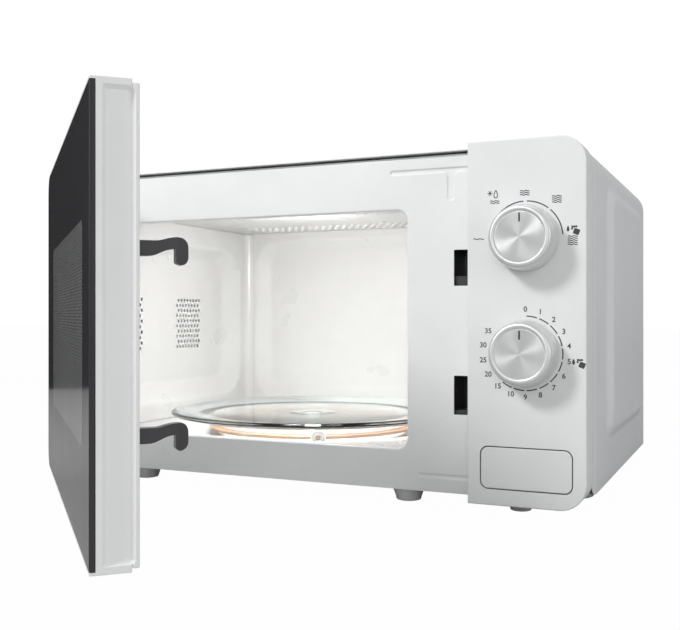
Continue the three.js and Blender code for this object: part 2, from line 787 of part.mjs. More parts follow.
function turntableMotor() {
  const z1 = wellFloor - sheet - 1.2 - gap;
  const can = rodZ(turntableMotorRadius, cavityX, cavityY, z1 - turntableMotorHeight, z1 - 1.5);
  const collar = rodZ(6, cavityX, cavityY, z1 - 3, z1);
  const ears = block(
    cavityX - turntableMotorRadius - 7, cavityX + turntableMotorRadius + 7, cavityY - 4, cavityY + 4,
    z1 - 4, z1 - 2.8,
  );
  return join(can, collar, ears);
}

function buildTurntable(group) {
  place(group, 'turntable_motor', 'zinc', turntableMotor());
  place(group, 'drive_coupler', 'whitePlastic', driveCoupler());
  place(group, 'glass_tray', 'glass', glassTray());
  place(group, 'roller_ring', 'whitePlastic', rollerRing());
  rollerAngles().forEach((angle, i) => {
    place(group, `roller_${i + 1}`, 'whitePlastic', roller(angle));
  });
}

// ---------------------------------------------------------------- control panel
function controlPanel() {
  const outline = (offset) => roundedRect(
    panelLeft + offset, halfWidth - offset, frontBottom + offset, overallHeight - offset,
    [0.5, cornerRadius - offset, cornerRadius - offset, 0.5],
  );
  const shell = cut(
    slabY(outline(0), frontFace, rearFace), slabY(outline(plastic), frontFace + plastic, 5),
  );
  const holes = [powerZ, timerZ].map((z) => rodY(knobShaftRadius + 1, knobX, z, frontFace - 2, 0));
  return cut(shell, ...holes, slabY(buttonOutline(gap * 1.5), frontFace - 2, 0));
}

function buttonOutline(grow) {
  const x0 = knobX - buttonWidth / 2;
  return roundedRect(
    x0 - grow, x0 + buttonWidth + grow, buttonBottom - grow, buttonBottom + buttonHeight + grow,
    buttonRadius + grow,
  );
}

const stemX = knobX - 21;
const stemZ = buttonBottom + buttonHeight / 2;

function releaseButton() {
  return join(
    slabY(buttonOutline(0), frontFace, frontFace + buttonPlate),
    block(stemX - 4, stemX + 4, frontFace + 1, frontFace + buttonPlate + buttonStem, stemZ - 4, stemZ + 4),
  );
}

function knob(z) {
  const y0 = frontFace - gap;
  const grip = rodY(
    knobFaceRadius + 2.4, knobX, z, y0 - knobDepth, y0 - knobSkirt + 4, knobFaceRadius + 3.2, 28,
  );
  const body = join(
    rodY(knobRadius, knobX, z, y0 - knobSkirt, y0, knobRadius + 0.4, 28),
    grip,
  );
  return cut(body, rodY(knobShaftRadius + gap, knobX, z, y0 - shaftOverlap - gap, y0 + 1));
}

function shaft(z) {
  return rodY(knobShaftRadius, knobX, z, frontFace - gap - shaftOverlap, frontFace + plastic + 6);
}

// Timer or power selector: a housing behind the panel with a socket for its shaft.
function controlUnit(z, depth) {
  const y0 = frontFace + plastic + gap;
  return cut(
    block(knobX - unitWidth / 2, knobX + unitWidth / 2, y0, y0 + depth, z - unitWidth / 2, z + unitWidth / 2),
    rodY(knobShaftRadius + gap, knobX, z, y0 - 1, frontFace + plastic + 6 + gap),
  );
}

function buildPanel(group) {
  place(group, 'control_panel', 'whitePlastic', controlPanel());
  place(group, 'release_button', 'whitePlastic', releaseButton());
  place(group, 'power_knob', 'spunAluminium', knob(powerZ));
  place(group, 'timer_knob', 'spunAluminium', knob(timerZ));
  place(group, 'power_shaft', 'zinc', shaft(powerZ));
  place(group, 'timer_shaft', 'zinc', shaft(timerZ));
  place(group, 'power_selector', 'whitePlastic', controlUnit(powerZ, selectorDepth));
  place(group, 'timer_unit', 'zinc', controlUnit(timerZ, timerDepth));
}

// ---------------------------------------------------------------- latch body, switches, lever
const latchLeft = slotLeft - 4;
const latchRight = slotRight + 5;
const latchBottom = leverPivotHeight + leverBar + 5.5;
const latchTop = hookBottoms[1] + hookHeight + 18.5;
const latchDepth = 31;
const ledgeFront = 3;
const ledgeBack = hookReach - noseLength - rearClearance - 2.5;
const earWidth = 4.5;

function latchBody() {
  const front = sheet + gap;
  const body = block(latchLeft, latchRight, front, latchDepth, latchBottom, latchTop);
  const pockets = hookBottoms.flatMap((bottom, i) => {
    const roof = bottom + hookHeight + slotAbove[i] + 1;
    const pocket = (y0, y1, z0) => block(slotLeft - 0.7, slotRight + 0.7, y0, y1, z0, roof);
    const floorUnderNose = i === 0 ? latchBottom - 5 : bottom - 4;
    return [
      pocket(0, latchDepth - 2, bottom + latchCatch),
      pocket(0, ledgeFront, bottom - slotBelow[i]),
      pocket(ledgeBack, latchDepth - 2, floorUnderNose),
    ];
  });
  const ear = block(latchRight - earWidth, latchRight, front, 11, leverPivotHeight - 6, latchBottom + 1);
  const bearing = rodX(
    leverBar + runningClearance, leverPivotDepth + 2, leverPivotHeight,
    latchRight - earWidth - 1, latchRight + 1,
  );
  return cut(join(cut(body, ...pockets), ear), bearing);
}

// Bell crank on an axle along X: its lower arm meets the button's stem, its rear arm the lower hook.
function releaseLever() {
  const y = leverPivotDepth + 2;
  const z = leverPivotHeight;
  const stemEnd = frontFace + buttonPlate + buttonStem;
  const axle = rodX(leverBar, y, z, hookX - 3.5, stemX + 6);
  const lowerArm = block(stemX - 4.5, stemX + 4.5, stemEnd + gap, y + 2, stemZ - 6, z);
  const rearArm = block(hookX - 3, hookX + 3.2, y, hookReach - 3, z, z + leverBar + 1);
  return join(axle, lowerArm, rearArm);
}

function microswitch(z) {
  const x1 = latchLeft - gap;
  return join(
    block(x1 - 10, x1, 6, 22, z, z + 27),
    block(x1 - 7, x1 - 3, 21, 27, z + 5, z + 6),
    block(x1 - 7, x1 - 3, 21, 27, z + 20, z + 21),
  );
}

function buildLatch(group) {
  place(group, 'latch_body', 'blackPlastic', latchBody());
  place(group, 'release_lever', 'whitePlastic', releaseLever());
  const first = latchBottom + 4;
  const names = ['primary_switch', 'monitor_switch', 'secondary_switch'];
  names.forEach((name, i) => place(group, name, 'blackPlastic', microswitch(first + i * 40)));
}

// ---------------------------------------------------------------- door, drawn closed
const viewLeft = doorLeft + viewSide;
const viewRight = doorRight - viewFree;
const viewTop = overallHeight - viewTopMargin;
const frameRear = rearFace - coverThickness - gap;
const cavityOfDoor = frontFace + doorPane + gap + 2;   // inner face of the frame's front wall
const hingeRound = 9.9;

// The door's plan: a rectangle whose rear corner at the hinge side is round, so that it clears
// the front plate as the door swings.
function doorPlan() {
  const shape = new THREE.Shape();
  shape.moveTo(doorLeft, frontFace - 1);
  shape.lineTo(doorRight + 1, frontFace - 1);
  shape.lineTo(doorRight + 1, rearFace);
  shape.lineTo(doorLeft + hingeRound, rearFace);
  shape.absarc(doorLeft + hingeRound, rearFace - hingeRound, hingeRound, Math.PI / 2, Math.PI, false);
  return shape;
}

function doorOutline(inset, radius) {
  return roundedRect(
    doorLeft + inset, doorRight - inset, frontBottom + inset, overallHeight - inset,
    [radius, 0.5, 0.5, radius],
  );
}

const viewOutline = (grow) => roundedRect(
  viewLeft - grow, viewRight + grow, viewBottom - grow, viewTop + grow, 8,
);

// Room for one hinge bracket as the door swings round it.
function bracketSweep(end) {
  const z = bracketZ(end);
  return rodZ(13, pivotX, pivotY, z - hingePlate / 2 - 0.5, z + hingePlate / 2 + 0.5);
}

function pinBore(end) {
  const z = bracketZ(end);
  const far = z + end * (hingePlate / 2 + hingePinLength + runningClearance);
  return rodZ(hingePinRadius + runningClearance, pivotX, pivotY, Math.min(z, far), Math.max(z, far));
}

function doorFrame() {
  const body = slabY(doorOutline(0, cornerRadius), frontFace, frameRear);
  const paneRoom = slabY(roundedRect(
    doorLeft + paneRim - gap, doorRight + 5, frontBottom + paneRim - gap, overallHeight - paneRim + gap,
    [cornerRadius - 2, 0, 0, cornerRadius - 2],
  ), frontFace - 1, frontFace + doorPane + gap);
  const wall = plastic + edgeRecess;
  const hollow = slabY(roundedRect(
    doorLeft + plastic, doorRight - wall, frontBottom + plastic, overallHeight - plastic,
    [cornerRadius - 2, 1, 1, cornerRadius - 2],
  ), cavityOfDoor, 5);
  const channel = block(
    doorRight - edgeRecess, doorRight + 2, cavityOfDoor + 0.5, frameRear - 1.5,
    frontBottom + 4, overallHeight - 4,
  );
  const cornerPosts = [-1, 1].map((end) => {
    const z = end > 0 ? [overallHeight - 24, overallHeight - 1.2] : [frontBottom + 1.2, frontBottom + 24];
    return block(doorLeft + 1.2, pivotX + 9, cavityOfDoor - 1, frameRear, ...z);
  });
  const springStop = block(
    hookX - 4, doorRight - wall + 1, cavityOfDoor - 1, frameRear - 1, springTop + gap, springTop + 3,
  );
  const shell = cut(body, paneRoom, hollow, slabY(viewOutline(0), frontFace, 5), channel);
  const posts = cornerPosts.map((post) => intersect(post, body));
  const whole = intersect(
    join(shell, ...posts, springStop), slabZ(doorPlan(), frontBottom - 1, overallHeight + 1, 9),
  );
  return cut(whole, bracketSweep(-1), bracketSweep(1), pinBore(-1), pinBore(1));
}

function doorPanel() {
  return slabY(roundedRect(
    doorLeft + paneRim, doorRight, frontBottom + paneRim, overallHeight - paneRim,
    [cornerRadius - 2, 0.4, 0.4, cornerRadius - 2],
  ), frontFace, frontFace + doorPane);
}

// The steel channel round the view opening that keeps the microwaves in.
function doorChoke() {
  const y0 = cavityOfDoor + 1 + 2 * gap;
  const y1 = rearFace - coverThickness - chokeGap;
  const ring = (grow, start, end) => slabY(viewOutline(grow), start, end);
  return cut(ring(20, y0, y1), ring(19, y0 + sheet, y1 + 1));
}

function doorScreen() {
  return slabY(viewOutline(screenMargin), cavityOfDoor + gap, cavityOfDoor + gap + 1);
}

function doorCover() {
  const plate = slabY(roundedRect(
    doorLeft, doorRight, frontBottom + coverInset, overallHeight - coverInset,
    [cornerRadius - 2, 0.5, 0.5, cornerRadius - 2],
  ), rearFace - coverThickness, rearFace);
  const slots = hookBottoms.map((bottom) => block(
    hookX - hookThickness / 2 - 0.8, hookX + hookThickness / 2 + 0.8, -9, 5,
    bottom + 2, bottom + hookHeight + latchLift + 1,
  ));
  return cut(
    intersect(plate, slabZ(doorPlan(), 0, overallHeight + 1, 9)),
    slabY(viewOutline(0), -9, 5), ...slots, bracketSweep(-1), bracketSweep(1),
  );
}

const hookBarFront = cavityOfDoor + 2;
const hookBarRear = frameRear - 2;
const hookBarTop = hookBottoms[1] + hookHeight + 8;
const springTop = hookBarTop + 2 * gap + springLength;

// One hook: a goose-neck arm that rises behind the door and ends in a nose pointing down.
function hook(bottom) {
  const y0 = hookBarFront + 2;
  const tip = rearFace + hookReach;
  const top = bottom + hookHeight;
  const profile = new THREE.Shape();
  profile.moveTo(y0, top - hookArm - 2);
  profile.lineTo(rearFace + 5, top - hookArm - 2);
  profile.bezierCurveTo(
    rearFace + 11, top - hookArm - 2, rearFace + 12, top - 6.6, tip - noseLength, top - 6,
  );
  profile.lineTo(tip - noseLength, bottom + 1.6);
  profile.lineTo(tip - noseLength + 3, bottom);
  profile.quadraticCurveTo(tip, bottom + 1, tip, bottom + 5);
  profile.lineTo(tip, top - 4.5);
  profile.quadraticCurveTo(tip - 1, top, tip - 6, top);
  profile.bezierCurveTo(tip - 12, top, tip - 14, top - 2, rearFace + 9, top - 2);
  profile.lineTo(y0, top - 2);
  profile.closePath();
  return slabX(profile, hookX - hookThickness / 2, hookX + hookThickness / 2, 6);
}

function latchHooks() {
  const bar = block(
    hookX - hookThickness / 2, hookX + hookThickness / 2, hookBarFront, hookBarRear,
    hookBottoms[0] - 4, hookBarTop,
  );
  return join(bar, ...hookBottoms.map(hook));
}

// The spring that pulls the hooks down, drawn as the sleeve that its coils fill.
function latchSpring() {
  const y = (hookBarFront + hookBarRear) / 2;
  const z0 = hookBarTop + gap;
  const z1 = springTop;
  return cut(
    rodZ(springRadius, hookX, y, z0, z1, springRadius, 18),
    rodZ(springRadius - springWire, hookX, y, z0 - 1, z1 + 1, springRadius - springWire, 18),
  );
}

function buildDoor() {
  const door = new THREE.Group();
  const closed = new THREE.Group();
  place(closed, 'door_panel', 'darkPane', doorPanel());
  place(closed, 'door_frame', 'greyEdge', doorFrame());
  place(closed, 'door_screen', 'blackPlastic', doorScreen());
  place(closed, 'door_choke', 'whitePaint', doorChoke());
  place(closed, 'door_inner_cover', 'whitePlastic', doorCover());
  place(closed, 'latch_hooks', 'blackPlastic', latchHooks());
  place(closed, 'latch_spring', 'zinc', latchSpring());
  closed.position.set(-pivotX, -pivotY, 0);
  door.add(closed);
  door.position.set(pivotX, pivotY, 0);
  door.rotation.z = -THREE.MathUtils.degToRad(doorRestAngle);
  return door;
}

// ---------------------------------------------------------------- assembly
const oven = new THREE.Group();
buildChassis(oven);
buildCavity(oven);
buildPower(oven);
buildTurntable(oven);
buildPanel(oven);
buildLatch(oven);
oven.add(buildDoor());

// The origin goes to the middle of the whole object's box, on the table.
oven.updateMatrixWorld(true);
const extent = new THREE.Box3().setFromObject(oven, true);
const centre = extent.getCenter(new THREE.Vector3());
oven.position.set(-centre.x, -centre.y, -extent.min.z);

export default oven;
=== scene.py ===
"""Looks of a compact microwave oven whose door stands half open.

Lengths are in millimetres on the oven's own axes until a piece is placed: X to the right, Y to the
rear from the steel front, Z up from the table. The door is drawn closed and then swung open.
"""
import json
import logging
import math
from dataclasses import dataclass, field
from enum import Enum
from typing import Callable, Iterable, Optional, Sequence

import bmesh
import bpy
from mathutils import Matrix, Vector
from mathutils.geometry import tessellate_polygon


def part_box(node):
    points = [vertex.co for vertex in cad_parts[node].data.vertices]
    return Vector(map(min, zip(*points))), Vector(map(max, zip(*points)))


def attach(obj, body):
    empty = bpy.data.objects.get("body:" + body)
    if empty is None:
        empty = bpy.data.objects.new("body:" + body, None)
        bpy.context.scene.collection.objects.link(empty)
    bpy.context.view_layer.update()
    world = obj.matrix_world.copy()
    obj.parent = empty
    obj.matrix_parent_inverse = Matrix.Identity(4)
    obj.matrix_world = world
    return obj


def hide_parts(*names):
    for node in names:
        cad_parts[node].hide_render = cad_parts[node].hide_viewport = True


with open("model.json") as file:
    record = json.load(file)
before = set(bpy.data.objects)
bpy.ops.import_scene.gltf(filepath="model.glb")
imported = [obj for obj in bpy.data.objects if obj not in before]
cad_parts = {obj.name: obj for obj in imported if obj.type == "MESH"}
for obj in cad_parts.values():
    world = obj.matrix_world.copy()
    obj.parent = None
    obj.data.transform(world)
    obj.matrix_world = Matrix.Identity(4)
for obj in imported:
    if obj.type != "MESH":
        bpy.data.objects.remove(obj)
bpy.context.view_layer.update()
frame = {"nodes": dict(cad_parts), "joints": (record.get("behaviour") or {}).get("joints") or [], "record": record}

log = logging.getLogger("oven")

MM = 0.001
Point2 = tuple[float, float]
Point3 = tuple[float, float, float]
Corner = tuple[float, float, float]
Colour = tuple[float, float, float]
SHEET = 0.8  # thickness of the plain steel sheets, in millimetres
COARSE = 14  # usual distance between grid stations, in millimetres


# ---------------------------------------------------------------- where things are
@dataclass(frozen=True)
class Datum:
    """Where oven millimetres lie in the frame, and how far the door stands open."""

    origin: Vector
    pivot: Vector
    open_angle: float

    @classmethod
    def from_frame(cls) -> "Datum":
        """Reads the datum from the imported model.

        Returns:
            The datum.
        """
        lo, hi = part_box("outer_casing")
        hinge = next(j for j in frame["joints"] if j["name"] == "door_hinge")
        origin = Vector(((lo.x + hi.x) / 2, lo.y, 0.0))
        return cls(origin, Vector(hinge["pos_m"]), math.radians(-hinge["range_deg"][0]))

    def fixed(self, point: Sequence[float]) -> Vector:
        """Places a point of the cabinet."""
        return Vector(point) * MM + self.origin

    def on_door(self, point: Sequence[float]) -> Vector:
        """Places a point of the closed door where the open door has it."""
        arm = self.fixed(point) - self.pivot
        return Matrix.Rotation(-self.open_angle, 3, "Z") @ arm + self.pivot

    def span(self, node: str) -> tuple[Vector, Vector]:
        """Gives a cabinet node's lowest and highest corner in oven millimetres."""
        lo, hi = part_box(node)
        return (lo - self.origin) / MM, (hi - self.origin) / MM


# ---------------------------------------------------------------- flat outlines
def rect(x0: float, x1: float, y0: float, y1: float,
         radii: float | Sequence[float] = 0.3) -> list[Corner]:
    """Lists a rectangle's corners, counter-clockwise from the lower left.

    Args:
        x0: Left side.
        x1: Right side.
        y0: Lower side.
        y1: Upper side.
        radii: One radius, or four from the lower left on.

    Returns:
        Four corners, each with its radius.
    """
    four = list(radii) if isinstance(radii, (tuple, list)) else [radii] * 4
    places = [(x0, y0), (x1, y0), (x1, y1), (x0, y1)]
    return [(x, y, r) for (x, y), r in zip(places, four)]


def outline(corners: Sequence[Corner], inset: float = 0.0, steps: int = 6) -> list[Point2]:
    """Draws a closed outline with rounded corners.

    Args:
        corners: Corners with their radii, counter-clockwise.
        inset: How far the outline shrinks inward on every side.
        steps: Segments in each rounded corner.

    Returns:
        The outline's points; the number doesn't depend on the inset.
    """
    count = len(corners)
    base = [Vector((x, y)) for x, y, _ in corners]
    edge = [(base[(i + 1) % count] - base[i]).normalized() for i in range(count)]
    side = [Vector((-e.y, e.x)) for e in edge]
    points: list[Point2] = []
    for i in range(count):
        before, after = edge[i - 1], edge[i]
        turn = before.x * after.y - before.y * after.x
        bisect = side[i - 1] + side[i]
        middle = base[i] + bisect * (inset / max(1e-6, bisect.dot(side[i])))
        radius = max(0.05, corners[i][2] - inset if turn > 0 else corners[i][2] + inset)
        angle = before.angle_signed(after)
        reach = radius * math.tan(abs(angle) / 2)
        sign = 1 if turn > 0 else -1
        centre = middle - before * reach + side[i - 1] * radius * sign
        start = -side[i - 1] * radius * sign
        for k in range(steps + 1):
            a = -angle * k / steps
            spoke = Vector((
                start.x * math.cos(a) - start.y * math.sin(a),
                start.x * math.sin(a) + start.y * math.cos(a),
            ))
            points.append((centre.x + spoke.x, centre.y + spoke.y))
    return points


def circle(cx: float, cy: float, radius: float, count: int) -> list[Point2]:
    """Draws a circle as points, counter-clockwise."""
    angles = [i * (2 * math.pi / count) for i in range(count)]
    return [(cx + radius * math.cos(a), cy + radius * math.sin(a)) for a in angles]


def across_y(points: Iterable[Point2], y: float) -> list[Point3]:
    """Stands an outline of X and Z at a depth."""
    return [(a, y, b) for a, b in points]


def across_z(points: Iterable[Point2], z: float) -> list[Point3]:
    """Lays an outline of X and Y at a height."""
    return [(a, b, z) for a, b in points]


def across_x(points: Iterable[Point2], x: float) -> list[Point3]:
    """Stands an outline of Y and Z at a distance to the right."""
    return [(x, a, b) for a, b in points]


def ease(t: float, bend: float = 0.22) -> float:
    """Gives a pressed slope's height from 0 to 1, with a bend at its foot and its top.

    Args:
        t: How far up the slope the point lies, from 0 to 1.
        bend: Share of the slope that each bend takes.

    Returns:
        The height as a share of the whole.
    """
    t = min(1.0, max(0.0, t))
    peak = 2 * bend * (1 - bend)
    if t < bend:
        return t * t / peak
    if t > 1 - bend:
        return 1 - (1 - t) ** 2 / peak
    return (t - bend / 2) / (1 - bend)


def depth_inside(x: float, y: float, corners: Sequence[float]) -> float:
    """Tells how deep a point lies inside a rounded rectangle.

    Args:
        x: The point's first coordinate.
        y: The point's second coordinate.
        corners: Lowest and highest x, lowest and highest y, and the radius.

    Returns:
        The distance to the border, negative outside.
    """
    x0, x1, y0, y1, radius = corners
    dx = abs(x - (x0 + x1) / 2) - (x1 - x0) / 2 + radius
    dy = abs(y - (y0 + y1) / 2) - (y1 - y0) / 2 + radius
    outside = math.hypot(max(dx, 0), max(dy, 0))
    return radius - outside - min(max(dx, dy), 0)


@dataclass(frozen=True)
class Press:
    """A pressed field: flat inside the inner border, sloped out to the outer one."""

    outer: tuple[float, float, float, float, float]
    inner: tuple[float, float, float, float, float]
    height: float

    def at(self, x: float, y: float) -> float:
        """Gives the pressed height at a point.

        Args:
            x: The point's first coordinate.
            y: The point's second coordinate.

        Returns:
            The height, 0 outside the field.
        """
        out = depth_inside(x, y, self.outer)
        if out <= 0:
            return 0.0
        rest = max(0.0, -depth_inside(x, y, self.inner))
        return self.height * ease(out / (out + rest))


def stations(start: float, end: float, coarse: float,
             fine: Sequence[tuple[float, float, float]]) -> list[float]:
    """Lists grid stations that are close together where the surface bends.

    Args:
        start: First station.
        end: Last station.
        coarse: Usual distance between stations.
        fine: Start, end and distance of each close stretch.

    Returns:
        Sorted stations.
    """
    found = {round(start, 3), round(end, 3)}
    for lo, hi, step in fine:
        lo, hi = max(lo, start), min(hi, end)
        count = max(1, round((hi - lo) / step))
        found |= {round(lo + (hi - lo) * i / count, 3) for i in range(count + 1)}
    marks = sorted(found)
    for a, b in zip(marks, marks[1:]):
        count = math.ceil((b - a) / coarse)
        found |= {round(a + (b - a) * i / count, 3) for i in range(1, count)}
    return sorted(found)


# ---------------------------------------------------------------- forms
@dataclass
class Form:
    """Points and faces of one piece while it is being drawn."""

    points: list[Point3] = field(default_factory=list)
    faces: list[tuple[int, ...]] = field(default_factory=list)

    def ring(self, points: Iterable[Point3]) -> list[int]:
        """Adds points and gives their numbers.

        Args:
            points: The points to add.

        Returns:
            Their numbers.
        """
        first = len(self.points)
        self.points.extend(points)
        return list(range(first, len(self.points)))

    def band(self, a: Sequence[int], b: Sequence[int], closed: bool = True) -> None:
        """Joins two rings of equal length with four-sided faces.

        Args:
            a: Point numbers of the first ring.
            b: Point numbers of the second ring.
            closed: Whether the last pair joins the first.
        """
        count = len(a)
        for i in range(count if closed else count - 1):
            j = (i + 1) % count
            self.faces.append((a[i], a[j], b[j], b[i]))

    def cap(self, ring: Sequence[int], *holes: Sequence[int]) -> None:
        """Fills a ring, leaving the holes open.

        Args:
            ring: Point numbers of the border.
            holes: Point numbers round each hole.
        """
        numbers = [n for loop in (ring, *holes) for n in loop]
        loops = [[Vector(self.points[n]) for n in loop] for loop in (ring, *holes)]
        for tri in tessellate_polygon(loops):
            self.faces.append(tuple(numbers[k] for k in tri))

    def stack(self, rings: Iterable[Iterable[Point3]], start: bool = True,
              end: bool = True) -> list[list[int]]:
        """Joins rings one after another.

        Args:
            rings: Rings of equal length.
            start: Whether the first ring is filled.
            end: Whether the last ring is filled.

        Returns:
            The rings' point numbers.
        """
        numbers = [self.ring(r) for r in rings]
        for a, b in zip(numbers, numbers[1:]):
            self.band(a, b)
        if start:
            self.cap(numbers[0])
        if end:
            self.cap(numbers[-1])
        return numbers

    def wall(self, rings: Iterable[Iterable[Point3]]) -> list[list[int]]:
        """Joins rings one after another, leaves both ends open and gives the rings' point numbers."""
        return self.stack(rings, start=False, end=False)

    def slab(self, corners: Sequence[Corner], low: float, high: float, turn: Callable = across_y,
             edge: float = 0.6, steps: int = 6) -> None:
        """Draws a plate with softened edges.

        Args:
            corners: Corners of the plate's outline.
            low: Where its first face lies.
            high: Where its last face lies.
            turn: Which way the plate stands.
            edge: Radius of its softened edges.
            steps: Segments in each corner.
        """
        turns = (math.pi / 2, 1.05, 0.52, 0.0)
        soft = [(edge * (1 - math.cos(a)), edge * (1 - math.sin(a))) for a in turns]
        rings = [turn(outline(corners, i, steps), low + d) for i, d in soft]
        rings += [turn(outline(corners, i, steps), high - d) for i, d in reversed(soft)]
        self.stack(rings)

    def turned(self, profile: Sequence[Point2], centre: Point2, turn: Callable, count: int = 64) -> None:
        """Turns a profile of radius and height round an axis.

        Args:
            profile: Radii and heights; a radius of 0 closes the form.
            centre: Where the axis stands.
            turn: Which way the axis points.
            count: Segments round the axis.
        """
        rings = self.wall(turn(circle(*centre, max(r, 0.01), count), h) for r, h in profile)
        for end, (radius, _) in ((rings[0], profile[0]), (rings[-1], profile[-1])):
            if radius < 0.1:
                self.cap(end)

    def grid(self, us: Sequence[float], vs: Sequence[float], at: Callable[[float, float], Point3],
             skip: Callable[[float, float], bool] = lambda u, v: False) -> None:
        """Draws a surface over a grid.

        Args:
            us: First coordinates.
            vs: Second coordinates.
            at: Where a pair of coordinates lies.
            skip: Tells which cells are left out, by their middle.
        """
        rows = [self.ring(at(u, v) for v in vs) for u in us]
        for i in range(len(us) - 1):
            for j in range(len(vs) - 1):
                if not skip((us[i] + us[i + 1]) / 2, (vs[j] + vs[j + 1]) / 2):
                    self.faces.append((rows[i][j], rows[i + 1][j], rows[i + 1][j + 1], rows[i][j + 1]))

    def tube(self, path: Sequence[Sequence[float]], radius: float, count: int = 10) -> None:
        """Draws a closed round bar along a path.

        Args:
            path: Points of the bar's middle line.
            radius: The bar's radius.
            count: Segments round the bar.
        """
        line = [Vector(p) for p in path]
        rings: list[list[Point3]] = []
        one = Vector()
        for i, p in enumerate(line):
            ahead = (line[min(i + 1, len(line) - 1)] - line[max(i - 1, 0)]).normalized()
            one = (one - ahead * one.dot(ahead) if rings else ahead.orthogonal()).normalized()
            two = ahead.cross(one)
            rings.append([tuple(p + (one * x + two * y)) for x, y in circle(0, 0, radius, count)])
        self.stack(rings)


@dataclass(frozen=True)
class Holes:
    """A field of round holes in staggered rows, on a surface of two coordinates."""

    u0: float
    v0: float
    columns: int
    rows: int
    pitch_u: float
    pitch_v: float
    radius: float

    @property
    def u1(self) -> float:
        """The far side of the field."""
        return self.u0 + (self.columns + 0.5) * self.pitch_u

    @property
    def v1(self) -> float:
        """The upper side of the field."""
        return self.v0 + self.rows * self.pitch_v

    def covers(self, u: float, v: float) -> bool:
        """Tells whether a point lies in the field."""
        return self.u0 < u < self.u1 and self.v0 < v < self.v1

    def lines(self) -> tuple[tuple[float, float, float], tuple[float, float, float]]:
        """Gives the close stretches that a grid round the field needs."""
        return (self.u0, self.u1, self.pitch_u / 2), (self.v0, self.v1, self.pitch_v)

    def draw(self, form: Form, at: Callable[[float, float], Point3]) -> None:
        """Draws the field's cells, each pierced by a hole.

        Args:
            form: The form that gets the cells.
            at: Where a pair of coordinates lies.
        """
        half, tall = self.pitch_u / 2, self.pitch_v
        for row in range(self.rows):
            v = self.v0 + row * tall
            shift = row % 2
            u = self.u0 if shift else self.u0 + self.columns * self.pitch_u
            blank = [(u, v), (u + half, v), (u + half, v + tall), (u, v + tall)]
            form.faces.append(tuple(form.ring(at(*p) for p in blank)))
            for column in range(self.columns):
                u = self.u0 + column * self.pitch_u + shift * half
                border = [(u, v), (u + half, v), (u + 2 * half, v), (u + 2 * half, v + tall),
                          (u + half, v + tall), (u, v + tall)]
                hole = circle(u + half, v + tall / 2, self.radius, 10)
                form.cap(form.ring(at(*p) for p in border), form.ring(at(*p) for p in hole))


# ---------------------------------------------------------------- node groups
def srgb(red: int, green: int, blue: int) -> Colour:
    """Turns a colour of 0 to 255 steps into the renderer's linear values.

    Args:
        red: Red step.
        green: Green step.
        blue: Blue step.

    Returns:
        The linear colour.
    """

    def linear(c: int) -> float:
        """Turns one step into its linear value."""
        s = c / 255
        return s / 12.92 if s <= 0.04045 else ((s + 0.055) / 1.055) ** 2.4

    return linear(red), linear(green), linear(blue)


class Tree:
    """Adds nodes to a node tree and joins them."""

    def __init__(self, tree: bpy.types.NodeTree) -> None:
        """Keeps the tree."""
        self.tree = tree

    def add(self, kind: str, inputs: Optional[dict] = None, **settings: object) -> bpy.types.Node:
        """Adds a node.

        Args:
            kind: The node's type without its prefix.
            inputs: Values or sockets for its inputs, by name or number.
            settings: The node's own settings.

        Returns:
            The node.
        """
        node = self.tree.nodes.new(kind if kind.startswith("Node") else "ShaderNode" + kind)
        for name, value in settings.items():
            setattr(node, name, value)
        for name, value in (inputs or {}).items():
            if isinstance(value, bpy.types.NodeSocket):
                self.tree.links.new(value, node.inputs[name])
            elif isinstance(value, tuple) and node.inputs[name].type == "RGBA":
                node.inputs[name].default_value = (*value, 1.0)
            else:
                node.inputs[name].default_value = value
        return node

    def math(self, operation: str, *values: object) -> bpy.types.NodeSocket:
        """Adds a calculation and gives its result."""
        return self.add("Math", dict(enumerate(values)), operation=operation).outputs[0]

    def blend(self, share: object, first: object, second: object) -> bpy.types.NodeSocket:
        """Mixes two colours and gives the result."""
        node = self.add("Mix", {0: share, 6: first, 7: second}, data_type="RGBA")
        return node.outputs[2]


